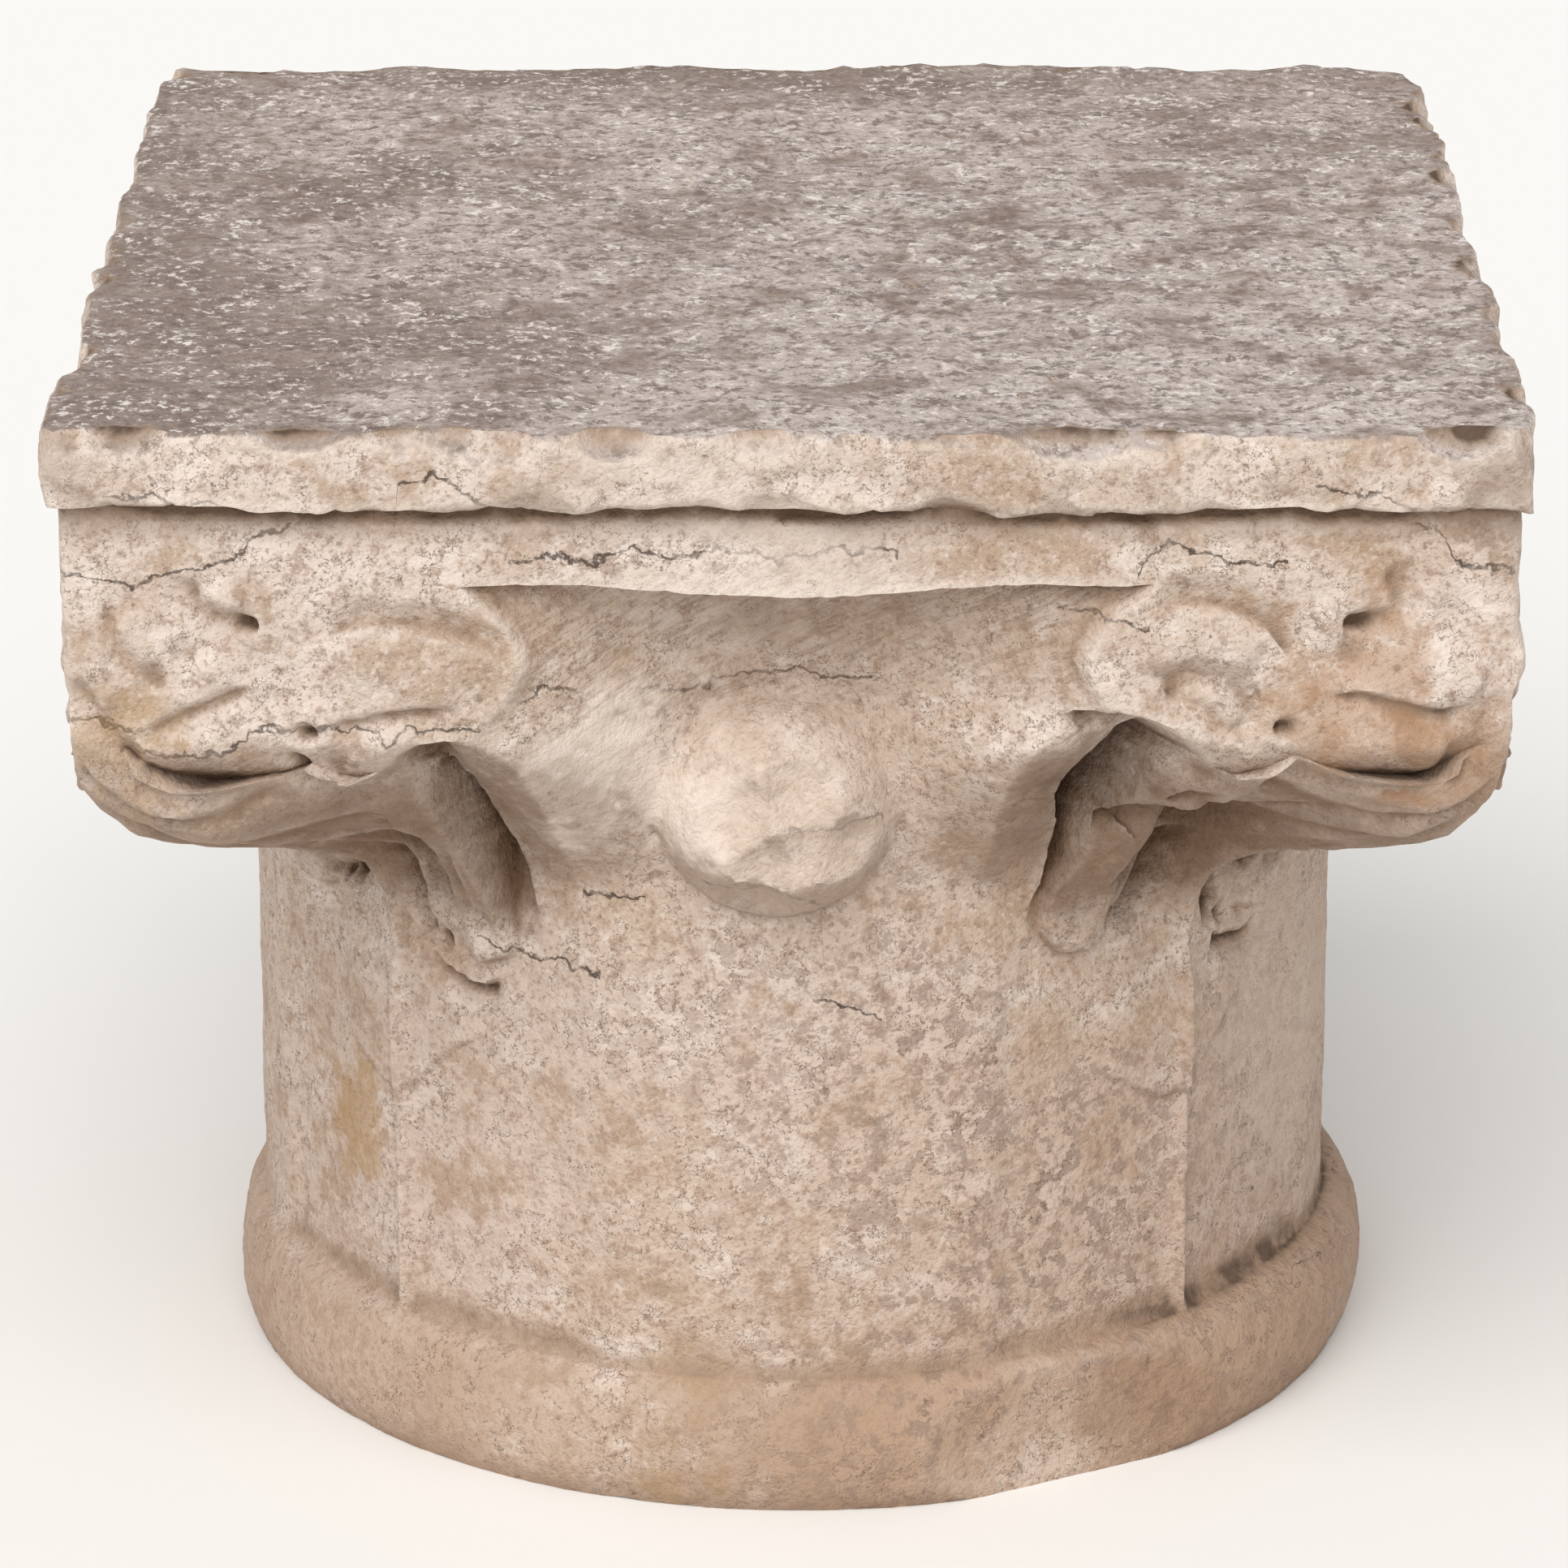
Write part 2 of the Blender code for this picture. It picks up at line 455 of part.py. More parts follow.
def skin():
    """Points and faces of the whole stone."""
    u = -1 + 2 * np.arange(COLUMNS) / COLUMNS
    up = heights(u)
    across = np.broadcast_to(u, up.shape)
    rings = []
    for side in range(4):
        radius, sin, cos = stone_radius(side, across.ravel(), up.ravel())
        places = np.stack([radius * sin, -radius * cos, up.ravel()], axis=-1)
        rings.append(places.reshape(*up.shape, 3))
    grid = np.concatenate(rings, axis=1)
    count = grid.shape[1]
    number = np.arange(len(up) * count).reshape(len(up), count)
    low, high = number[:-1], number[1:]
    quads = np.stack([low, np.roll(low, -1, axis=1), np.roll(high, -1, axis=1), high], axis=-1)
    faces = quads.reshape(-1, 4).tolist() + [number[-1].tolist(), number[0][::-1].tolist()]
    return grid.reshape(-1, 3), faces


def thinned(obj):
    """The object's mesh with fewer triangles, kept where the carving bends, and with flat ends."""
    modifier = obj.modifiers.new("Thin", "DECIMATE")
    modifier.use_collapse_triangulate = True
    mesh = obj.data
    mesh.calc_loop_triangles()
    modifier.ratio = TRIANGLES / len(mesh.loop_triangles)
    graph = bpy.context.evaluated_depsgraph_get()
    result = bpy.data.meshes.new_from_object(obj.evaluated_get(graph), depsgraph=graph)
    obj.modifiers.clear()
    for vertex in result.vertices:
        for end in (0, HEIGHT):
            if abs(vertex.co.z - end) < 0.0008:
                vertex.co.z = end
    return result


def marble():
    """Warm beige marble, worn dull."""
    material = bpy.data.materials.new("marble")
    material.use_nodes = True
    shader = material.node_tree.nodes["Principled BSDF"]
    shader.inputs["Base Color"].default_value = (0.60, 0.47, 0.37, 1)
    shader.inputs["Roughness"].default_value = 0.8
    shader.inputs["Metallic"].default_value = 0
    return material


def capital():
    """The one carved stone, as one object."""
    points, faces = skin()
    mesh = bpy.data.meshes.new("marble_capital")
    mesh.from_pydata(points.tolist(), [], faces)
    obj = bpy.data.objects.new("marble_capital", mesh)
    bpy.context.scene.collection.objects.link(obj)
    bpy.context.view_layer.update()
    obj.data = thinned(obj)
    obj.data.materials.append(marble())
    obj.data.shade_smooth()
    obj.data.set_sharp_from_angle(angle=np.radians(35))
    return obj


for old in list(bpy.data.objects):
    bpy.data.objects.remove(old)
capital()
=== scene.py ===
# %% [markdown]
# # A carved marble capital
# A capital is the head of a column. This one is cut from a single block: a square slab on top (the abacus),
# four corner leaves that lean out under it, a ball on each side, a round drum with a plain bell above it,
# and a rounded ring at the foot. Because it is one stone it is made here as one closed skin: for every
# direction around the middle and every height there is one radius. A mason works in the same order, from
# the block inwards.

import bpy
import numpy as np
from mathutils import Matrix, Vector


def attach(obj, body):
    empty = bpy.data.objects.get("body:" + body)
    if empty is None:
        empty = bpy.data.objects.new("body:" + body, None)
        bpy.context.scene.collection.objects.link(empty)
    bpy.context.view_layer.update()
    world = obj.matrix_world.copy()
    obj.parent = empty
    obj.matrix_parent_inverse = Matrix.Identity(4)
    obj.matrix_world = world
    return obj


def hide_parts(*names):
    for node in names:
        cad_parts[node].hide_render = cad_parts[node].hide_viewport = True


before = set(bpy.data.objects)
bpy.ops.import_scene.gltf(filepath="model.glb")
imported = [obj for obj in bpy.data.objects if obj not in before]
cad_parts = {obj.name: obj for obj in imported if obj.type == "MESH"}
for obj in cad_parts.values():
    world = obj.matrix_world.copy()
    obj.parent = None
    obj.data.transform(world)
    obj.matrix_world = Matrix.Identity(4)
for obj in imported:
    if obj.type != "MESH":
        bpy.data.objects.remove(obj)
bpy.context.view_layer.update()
print("stone in the frame:", sorted(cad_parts))

# %% [markdown]
# ## The main sizes
# All heights are above the foot. The leaf faces stand a little behind the slab, and the drum is round. The
# carving is drawn on a chart: millimetres across from the middle of a side and up from the foot.

# %% Sizes of the stone
MM = 0.001
HEIGHT = 420 * MM
SLAB_HALF = 254 * MM
SLAB_FOOT = 391 * MM
FACE_HALF = 248 * MM
CHART_HALF = 244
ACROSS = FACE_HALF / CHART_HALF
DRUM = 203 * MM
BELL_FLARE = 24 * MM
RING_TOP = 49 * MM
RING_BULGE = 13 * MM
BAND = 26 * MM
BALL = 43.5 * MM
BALL_SUNK = 10 * MM
BALL_UP = 269.5 * MM
BALL_ASIDE = -5 * MM
BALL_FILLET = 5 * MM
RING_FILLET = 7 * MM
RING_LEAN = 3 * MM
DRUM_LEAN = 1.5 * MM
PANEL_STEP = 3 * MM
BLADE_HOLLOW = 1.8 * MM
ARCH_DEPTH = 19 * MM
ARRIS_SOFTNESS = 32 * MM
RECESS_WIDTH = 72 * MM
SLOPE_WIDTH = 90 * MM
DEEPEST_CUT = 16 * MM
MIDRIB = 3.5 * MM
TONGUE = 2 * MM
HAND_DRIFT = 4 * MM
FACE_SQUARENESS = 110
SLAB_SQUARENESS = 150
CHIPS_A_SIDE = 60
CHIP_SEED = 61
SIDES = ("front", "right", "back", "left")
print("slab", 2 * SLAB_HALF, "drum", 2 * DRUM, "height", HEIGHT)


# %% Helpers for smooth changes and soft random lumps
def smooth(start, end, value):
    """0 before start, 1 after end, and an even slope between them."""
    share = np.clip((value - start) / (end - start), 0, 1)
    return share * share * (3 - 2 * share)


def lumps(places, size, seed):
    """Soft random values from -1 to 1, in lumps of one size, the same on every run."""
    table = np.random.default_rng(seed).random(8192) * 2 - 1
    steps = places / size
    cell = np.floor(steps).astype(np.int64)
    share = steps - cell
    share = share * share * (3 - 2 * share)
    total = np.zeros(len(places))
    for corner in np.ndindex(2, 2, 2):
        key = ((cell + corner) @ (73, 179, 1283)) % len(table)
        total += np.prod(np.where(corner, share, 1 - share), axis=1) * table[key]
    return total


def blurred(field, rows, columns):
    """A grid's values averaged over a window. The grid is closed around the stone, and its ends repeat."""
    padded = np.concatenate([field[:1].repeat(rows, axis=0), field, field[-1:].repeat(rows, axis=0)])
    run = np.cumsum(np.concatenate([0 * padded[:1], padded]), axis=0)
    field = (run[2 * rows + 1:] - run[:-2 * rows - 1]) / (2 * rows + 1)
    padded = np.concatenate([field[:, -columns:], field, field[:, :columns]], axis=1)
    run = np.cumsum(np.concatenate([0 * padded[:, :1], padded], axis=1), axis=1)
    return (run[:, 2 * columns + 1:] - run[:, :-2 * columns - 1]) / (2 * columns + 1)


test = lumps(np.random.default_rng(1).random((1000, 3)), 0.1, 1)
print("soft lumps run from", test.min().round(2), "to", test.max().round(2))

# %% [markdown]
# ## Where each leaf ends
# A leaf covers the upper corner of the block. Its inner edge against the bell is a sharp line (the arris)
# at the top, and lower down it turns into the plain bevel beside the middle panel. Its lower edge (the lip)
# arches over a hollow. Below the lip the underside of the leaf comes out of the drum, and its tip (the toe)
# lies on the drum. The two halves of a side differ, as they do on the real stone, which was cut by eye.

# %% The chart of the leaf's edges, in millimetres
LEAVES = {
    "left": {
        "arris": ((79, 300), (80, 317), (86, 329), (92, 340), (97, 348), (102, 354), (109, 361),
            (114, 366)),
        "bevel": ((79, 40), (79, 154), (80, 169), (86, 198), (93, 226), (98, 234), (99, 242), (97, 254),
            (95, 262), (94, 271), (94, 280), (95, 288), (96, 294), (99, 300), (103, 304), (109, 306)),
        "edge": ((98, 40), (100, 95), (103, 136), (108, 171), (112, 188), (117, 206), (124, 226),
            (127, 238), (128, 245), (129, 253), (129, 260), (128, 268), (127, 275), (127, 281), (129, 286),
            (131, 290), (137, 297), (150, 303)),
        "mass": ((136, 195), (139, 213), (139, 230), (139, 245), (137, 262), (135, 272), (133, 283),
            (133, 291), (136, 306)),
        "lip": ((0, 306), (90, 304), (103, 307), (116, 308), (126, 306), (135, 301), (143, 295), (150, 292),
            (157, 292), (165, 298), (175, 294), (192, 291), (207, 289), (218, 295), (230, 304), (244, 310)),
        "toe": ((130, 208), (140, 200), (160, 195), (185, 199), (200, 195), (220, 170), (244, 137)),
    },
    "right": {
        "arris": ((78, 300), (90, 318), (96, 328), (101, 338), (105, 347), (110, 354), (118, 359),
            (125, 364)),
        "bevel": ((89, 40), (89, 185), (86, 225), (83, 258), (81, 271), (81, 281), (82, 287), (85, 295),
            (88, 302), (94, 311), (99, 315), (107, 317)),
        "edge": ((100, 40), (100, 150), (104, 190), (112, 212), (114, 222), (118, 232), (120, 242),
            (119, 252), (117, 260), (113, 267), (110, 274), (109, 281), (110, 287), (113, 294), (118, 300),
            (125, 305), (135, 308)),
        "mass": ((123, 195), (122, 209), (118, 218), (119, 226), (122, 233), (127, 242), (127, 251),
            (126, 261), (127, 267), (129, 273), (131, 283), (133, 293), (138, 300), (146, 306)),
        "lip": ((0, 306), (59, 308), (84, 312), (96, 318), (108, 319), (118, 317), (127, 313), (136, 306),
            (146, 297), (154, 293), (163, 295), (173, 302), (182, 298), (192, 295), (207, 293), (222, 292),
            (232, 302), (244, 310)),
        "toe": ((117, 216), (122, 209), (132, 203), (146, 202), (158, 204), (167, 208), (173, 216),
            (183, 221), (194, 227), (203, 228), (216, 200), (244, 137)),
    },
}
# The underside of a leaf on the diagonal of the block: share of the rise, share of the overhang
UNDERSIDE = ((0, 0), (0.33, 0.01), (0.44, 0.053), (0.515, 0.12), (0.57, 0.237), (0.62, 0.41), (0.665, 0.594),
             (0.71, 0.739), (0.75, 0.836), (0.815, 0.913), (0.88, 0.97), (1, 1))
print("edges on each half of a side:", ", ".join(LEAVES["left"]))

# %% [markdown]
# ## The strokes of the carving
# A carver cuts a leaf with a few kinds of stroke: a lip, where one fold lies over the next and throws a
# dark line; a groove, a rounded furrow; a ridge; a dish, a wide shallow hollow; and a pit, the round hole
# of a drill. Each stroke is a line on the chart with a depth and a width, so the whole leaf is a list of
# strokes.

# %% Strokes of each half: kind, depth and width in millimetres, then the line
CARVING = {
    "left": (
        # left leaf, from the lip down to the foot of the face
        ("lip", 5.0, 12, ((112, 307), (126, 306), (135, 301), (143, 295), (150, 291), (157, 292),
         (165, 297))),
        ("lip", 2.8, 5, ((168, 301), (178, 294), (188, 291), (200, 289), (209, 289), (217, 293), (224, 299),
         (230, 307))),
        ("lip", 4.2, 7, ((174, 292), (185, 288), (197, 281), (208, 278), (219, 280), (228, 285), (237, 293),
         (242, 301))),
        ("lip", 5.0, 8, ((148, 273), (165, 271), (180, 269), (192, 266), (204, 263), (216, 265), (227, 270),
         (238, 279), (243, 285))),
        ("ridge", 1.8, 5, ((178, 282), (196, 275), (208, 272), (220, 274), (232, 282))),
        ("lip", 6.5, 11, ((143, 218), (152, 221), (153, 229), (151, 241), (148, 251), (152, 257),
         (159, 261), (170, 264), (184, 262))),
        ("ridge", 3.0, 4, ((134, 286), (136, 270), (138, 256), (140, 244), (142, 232), (139, 221),
         (134, 212))),
        ("lip", 7.0, 11, ((176, 209), (175, 218), (174, 225), (178, 233), (183, 241), (188, 246),
         (205, 250), (222, 253), (236, 256))),
        ("lip", 6.0, 10, ((201, 197), (202, 205), (207, 211), (209, 218), (212, 226), (213, 234),
         (221, 239), (236, 243))),
        ("groove", 3.0, 5, ((243, 236), (240, 222), (240, 208), (234, 190))),
        ("lip", 3.0, 6, ((146, 191), (158, 187), (170, 186), (185, 188), (197, 191), (206, 196))),
        ("groove", 1.6, 4, ((166, 193), (172, 197), (182, 200), (194, 202))),
        ("dish", 2.0, 8, ((148, 207), (154, 209))),
        ("pit", 7.0, 3.5, ((197, 200), (194, 199))),
        # left leaf face: the long lobe beside the bell, with a hollow over it and a fold under it
        ("lip", 2.6, 9, ((162, 339), (152, 345), (143, 348), (129, 347), (114, 344), (101, 339),
         (91, 334))),
        ("ridge", 2.8, 9, ((160, 328), (146, 333), (130, 334), (114, 330), (100, 324))),
        ("lip", 2.4, 7, ((108, 321), (124, 320), (135, 319), (142, 317), (151, 315), (160, 311))),
        ("ridge", 2.2, 6, ((120, 313), (134, 310), (146, 304), (156, 300))),
        # the hook, its drill holes, the curl and the outer lobes
        ("groove", 4.4, 4, ((203, 369), (201, 359), (197, 353), (189, 350), (183, 349))),
        ("pit", 8.0, 2.6, ((185, 350), (182, 349))),
        ("ridge", 2.0, 5, ((194, 366), (190, 359), (182, 357))),
        ("groove", 2.8, 3.5, ((206, 333), (203, 339), (198, 342), (192, 343), (185, 340), (177, 339))),
        ("ridge", 2.4, 5, ((198, 332), (192, 336), (184, 333))),
        ("pit", 8.0, 2.6, ((166, 310), (163, 310))),
        ("pit", 7.0, 3.4, ((170, 299), (169, 293))),
        ("lip", 2.2, 7, ((234, 360), (231, 348), (226, 337), (217, 328), (206, 323))),
        ("ridge", 2.8, 7, ((224, 356), (218, 344), (211, 335))),
        ("ridge", 2.6, 8, ((240, 345), (234, 331), (224, 319))),
        ("groove", 4.2, 4, ((240, 332), (237, 322), (233, 313), (228, 305), (221, 299))),
        ("lip", 2.4, 7, ((181, 329), (190, 326), (203, 320), (213, 315), (221, 309))),
        ("ridge", 3.0, 7, ((222, 305), (210, 300), (198, 300), (186, 303))),
        ("groove", 2.4, 4, ((184, 319), (177, 321), (168, 322))),
        ("groove", 3.0, 3.5, ((161, 293), (156, 298), (149, 303), (142, 306))),
        ("dish", 2.2, 9, ((176, 334), (168, 328))),
    ),
    "right": (
        # right leaf, from the lip down
        ("lip", 5.0, 13, ((91, 312), (101, 317), (115, 317), (125, 313), (136, 306), (146, 297), (154, 293),
         (164, 297))),
        ("lip", 2.8, 5, ((168, 304), (176, 301), (183, 296), (198, 293), (211, 292), (224, 294), (232, 302),
         (238, 312))),
        ("lip", 4.2, 7, ((166, 291), (174, 291), (184, 286), (195, 281), (208, 278), (220, 281), (233, 287),
         (242, 296))),
        ("lip", 5.0, 8, ((150, 280), (163, 277), (180, 272), (195, 267), (209, 264), (220, 266), (231, 272),
         (242, 283))),
        ("lip", 7.5, 12, ((130, 250), (129, 262), (131, 269), (137, 272), (146, 273), (158, 271),
         (174, 266), (192, 262), (214, 258))),
        ("lip", 6.5, 10, ((153, 228), (156, 236), (160, 245), (167, 252), (176, 255), (186, 256),
         (198, 255), (216, 253))),
        ("lip", 6.0, 9, ((167, 212), (176, 219), (188, 224), (197, 230), (205, 236), (214, 242),
         (226, 247))),
        ("groove", 1.8, 4, ((124, 223), (128, 228), (138, 230), (148, 228), (156, 221))),
        ("ridge", 3.0, 4, ((140, 279), (129, 274), (124, 265), (124, 252), (124, 242), (118, 232),
         (115, 222))),
        ("dish", 6.0, 7, ((121, 278), (128, 284))),
        ("lip", 4.0, 5, ((142, 276), (146, 281), (151, 283), (157, 282), (162, 277))),
        ("groove", 2.2, 4, ((142, 291), (147, 294), (153, 293))),
        ("pit", 6.0, 3.5, ((164, 213), (168, 213))),
        # right leaf face: hook, holes and the fingered lobes
        ("pit", 8.0, 3.2, ((195, 350), (190, 350))),
        ("dish", 4.0, 6, ((192, 343), (190, 341))),
        ("groove", 4.5, 3.5, ((190, 352), (201, 352), (205, 357), (204, 364), (199, 372))),
        ("ridge", 2.2, 5, ((212, 366), (212, 354), (203, 346))),
        ("pit", 8.0, 3.0, ((169, 312), (167, 312))),
        ("lip", 2.8, 9, ((170, 333), (165, 341), (159, 348), (146, 354), (131, 355), (118, 352))),
        ("ridge", 2.8, 9, ((158, 334), (146, 341), (130, 342), (112, 337))),
        ("groove", 3.6, 4, ((114, 331), (131, 330), (146, 329), (155, 321), (158, 314))),
        ("ridge", 2.4, 4, ((128, 325), (140, 323), (149, 318), (152, 312))),
        ("groove", 3.8, 4, ((123, 327), (131, 324), (138, 319), (143, 314), (147, 307))),
        ("ridge", 2.2, 4, ((128, 317), (136, 312), (142, 305))),
        ("groove", 3.0, 4, ((150, 306), (155, 314), (163, 314))),
        ("lip", 2.6, 7, ((178, 323), (192, 326), (206, 322), (219, 320), (230, 322))),
        ("groove", 3.0, 4, ((170, 337), (178, 337), (185, 334), (192, 337), (200, 334))),
        ("ridge", 3.4, 8, ((180, 308), (196, 304), (212, 303), (226, 305))),
        ("groove", 3.3, 4, ((238, 328), (235, 316), (231, 304), (223, 295))),
        ("ridge", 3.0, 7, ((206, 338), (222, 334), (234, 328))),
        ("dish", 3.0, 9, ((222, 352), (230, 342))),
    ),
}
print("strokes on each half of a side:", {name: len(strokes) for name, strokes in CARVING.items()})


# %% Cut one stroke
def rounded(line, steps=6):
    """The chart line's points joined by a smooth curve through all of them."""
    points = np.array(line, float)
    ends = np.vstack([2 * points[0] - points[1], points, 2 * points[-1] - points[-2]])
    curve = []
    for a, b, c, d in zip(ends, ends[1:], ends[2:], ends[3:]):
        for t in np.arange(steps) / steps:
            bend = (2 * a - 5 * b + 4 * c - d) * t**2 + (3 * b - a - 3 * c + d) * t**3
            curve.append(0.5 * (2 * b + (c - a) * t + bend))
    return np.array(curve + [points[-1]]) * (ACROSS, MM)


def measure(line, x, z, reach):
    """For places near the line: which they are, how far off, on which hand of it, and how far along it."""
    curve = rounded(line)
    low, high = curve.min(axis=0) - reach, curve.max(axis=0) + reach
    near = np.flatnonzero((x > low[0]) & (x < high[0]) & (z > low[1]) & (z < high[1]))
    px, pz = x[near], z[near]
    best, hand, along = np.full(len(near), 9.0), np.zeros(len(near)), np.zeros(len(near))
    for i, (start, end) in enumerate(zip(curve, curve[1:])):
        step = end - start
        t = np.clip(((px - start[0]) * step[0] + (pz - start[1]) * step[1]) / (step @ step), 0, 1)
        dx, dz = px - start[0] - t * step[0], pz - start[1] - t * step[1]
        distance = np.hypot(dx, dz)
        closer = distance < best
        best[closer] = distance[closer]
        hand[closer] = np.sign(step[0] * dz - step[1] * dx)[closer]
        along[closer] = ((i + t) / (len(curve) - 1))[closer]
    return near, best, hand, along


def cut_stroke(kind, depth, width, line, x, z):
    """How far one stroke raises the surface at each place."""
    depth, width = depth * MM, width * MM
    near, distance, hand, along = measure(line, x, z, 3 * width)
    # a stroke dies away at its ends, unless it runs on round the stone's corner
    starts, ends = (abs(point[0]) < CHART_HALF for point in (line[0], line[-1]))
    fade = np.where(starts, smooth(0, 0.22, along), 1) * np.where(ends, smooth(1, 0.78, along), 1)
    bell = np.exp(-((distance / width) ** 2))
    if kind == "lip":
        crisp = 1 - np.exp(-distance / (0.9 * MM))
        change = 2 * depth * fade * bell * crisp * np.where(hand >= 0, 0.12, -1.0)
    elif kind in ("pit", "dish"):
        change = -depth * bell
    else:
        # a crisp line in a wide soft valley, or a crisp crest on a wide swelling
        soft = np.exp(-((distance / (2.4 * width)) ** 2))
        change = depth * fade * (0.7 * bell + 0.45 * soft) * (1 if kind == "ridge" else -1)
    raised = np.zeros(len(x))
    raised[near] = change
    return raised


trial_line = ((100, 300), (120, 300))
trial = cut_stroke("groove", 3, 5, trial_line, np.array([110, 200]) * MM, np.array([300, 300]) * MM)
print("a 3 mm groove cuts", (trial * 1000).round(2), "mm at its middle and far off")

# %% [markdown]
# ## The block under the strokes
# The leaf face is flat, in the plane of the block's side. Between the leaves the bell is hollowed back to
# the drum. Each form is a radius, and where forms meet the outer or inner one is kept, as when stone is cut
# away.


# %% Plain forms
def squircle(angle, half, power):
    """Radius of a square with rounded corners. Power 2 is a circle, and a large power a square."""
    c, s = np.abs(np.cos(angle)), np.abs(np.sin(angle))
    return half / (c**power + s**power) ** (1 / power)


def joined(a, b, fillet):
    """The outer of two forms, with a soft hollow of the given size where they meet."""
    return np.maximum(a, b) + 0.25 * fillet * np.clip(1 - np.abs(a - b) / fillet, 0, 1) ** 2


def across_at(line, z):
    """How far across a chart line lies at each height."""
    points = np.array(line, float)
    return np.interp(z / MM, points[:, 1], points[:, 0]) * ACROSS


def height_at(line, x):
    """How high a chart line lies at each place across."""
    points = np.array(line, float)
    return np.interp(x / ACROSS, points[:, 0], points[:, 1]) * MM


def band_edge(x):
    """Height of the lower edge of the plain band between the leaves."""
    return SLAB_FOOT - 7 * MM - BAND + 5 * MM * smooth(0, 95 * ACROSS, x)


def outer_face(leaf, angle, x, z):
    """The bell, the leaf's flat face and the slope between them, above and beside the arch."""
    face = squircle(angle, FACE_HALF, FACE_SQUARENESS)
    grown = 0.12 * smooth(230 * MM, 310 * MM, z) + 0.88 * np.clip((z - 306 * MM) / (56 * MM), 0, 1) ** 1.5
    bell = squircle(angle, DRUM + BELL_FLARE * grown, 2 + 4.5 * grown)
    # the leaf's face ends at the arris, crisp at the top, and falls away to the bell
    arris = across_at(leaf["arris"], z)
    crisp = smooth(300 * MM, 340 * MM, z)
    inward = arris + ARRIS_SOFTNESS * (1 - crisp) - x
    rounding = np.sin(np.clip(inward / RECESS_WIDTH, 0, 1) * np.pi / 2)
    cut_in = 0.18 * smooth(0, 4 * MM, inward) + 0.82 * rounding
    fall = crisp * cut_in + (1 - crisp) * smooth(0, SLOPE_WIDTH, inward)
    return bell + (face - bell) * (1 - fall) * smooth(228 * MM, 312 * MM, z)


def leaf_half(leaf, angle, x, z):
    """Radius over one half of a side, from the middle to the corner, before the strokes."""
    face = squircle(angle, FACE_HALF, FACE_SQUARENESS)
    side = outer_face(leaf, angle, x, z)
    # the combed strip inside the arch slopes back from the bevel's edge and ends in a crisp step to the blade
    bevel, edge, mass = (across_at(leaf[name], z) for name in ("bevel", "edge", "mass"))
    deep = smooth(228 * MM, 285 * MM, z)
    sloped = np.clip((x - bevel) / (edge - bevel), 0, 1)
    strip = side - (2 * MM * smooth(0, 1, sloped) + ARCH_DEPTH * deep * sloped)
    blade = squircle(angle, DRUM, 2) - PANEL_STEP - 5 * MM * smooth(205 * MM, 250 * MM, z)
    blade = blade - BLADE_HOLLOW * np.sin(np.pi * np.clip((x - edge) / (FACE_HALF - edge), 0, 1))
    lip = height_at(leaf["lip"], x)
    crisp = 1 * MM + 3 * MM * smooth(240 * MM, 190 * MM, z)
    inner = strip + (blade - strip) * smooth(edge - crisp, edge + 1.6 * crisp, x)
    # the mass of the underside, growing out of the drum
    toe = height_at(leaf["toe"], x)
    rise = np.clip((z - toe) / (lip - toe), 0, 1)
    steps = np.array(UNDERSIDE)
    corner = smooth(np.radians(31), np.radians(42), angle)
    foot = 0.07 * (1 - corner) * smooth(toe - 1 * MM, toe + 2 * MM, z)
    near = foot + (1 - 0.07 * (1 - corner)) * rise**1.7
    out = near + (np.interp(rise, steps[:, 0], steps[:, 1]) - near) * corner
    under = blade + (face - blade) * out
    wall = smooth(mass - 3 * MM, mass + 4 * MM, x)
    below = inner + (np.maximum(under, blade) - inner) * wall
    return np.where(z >= lip, side, below)


def ring_radius(turn, z):
    """The rounded ring at the foot, which stands a little higher on the right than on the left."""
    right = np.sin(turn)
    crest = RING_TOP * (0.42 + 0.08 * right)
    up = np.sqrt(np.clip(1 - ((z - crest) / (RING_TOP - crest)) ** 2, 0, 1))
    down = np.sqrt(np.clip(1 - ((crest - z) / (crest * 1.35)) ** 2, 0, 1))
    bulge = np.where(z > crest, up, down)
    ring = DRUM - 1 * MM + (RING_BULGE + 1 * MM + RING_LEAN * right) * bulge
    return np.where(z < RING_TOP, ring, DRUM - 1 * MM - (z - RING_TOP) * 1.5)


print("face at the corner", round(float(squircle(np.pi / 4, FACE_HALF, 110)) * 1000), "mm from the middle")

# %% [markdown]
# ## Breaks, flakes and worn edges
# Old stone loses its corners in flat flakes, because marble splits along planes. Each break here is a
# plane: what lies beyond it is gone. The slab's edges are chipped all along, by random scoops from a fixed
# seed.

# %% Broken places: which form, the direction a break faces, and how far it lies from the stone's middle
BREAKS = (
    ("slab", (1.0, -0.8, 0.10), 382.6),
    ("slab", (0.7, -1.0, 0.45), 467.2),
    ("slab", (-1.0, -0.9, 0.5), 475.6),
    ("slab", (1.0, 0.8, 0.45), 462.1),
    ("slab", (-1.0, 1.0, 0.60), 486.7),
    ("ring", (0.47, -0.88, 0.0), 209.5),
    ("ring", (0.47, -0.88, -0.40), 195.5),
)
# Each scoop off the front ball: where its middle lies from the ball's, and its own radius, in millimetres
BALL_SCOOPS = (
    ((14, -66, 16), 33),
    ((21, -68, -11), 35),
    ((-3, -66, -20), 32),
    ((-20, -64, 5), 31),
    ((40, -56, -14), 32),
    ((-13, -45, -51), 32),
    ((-34, -55, 25), 29),
)
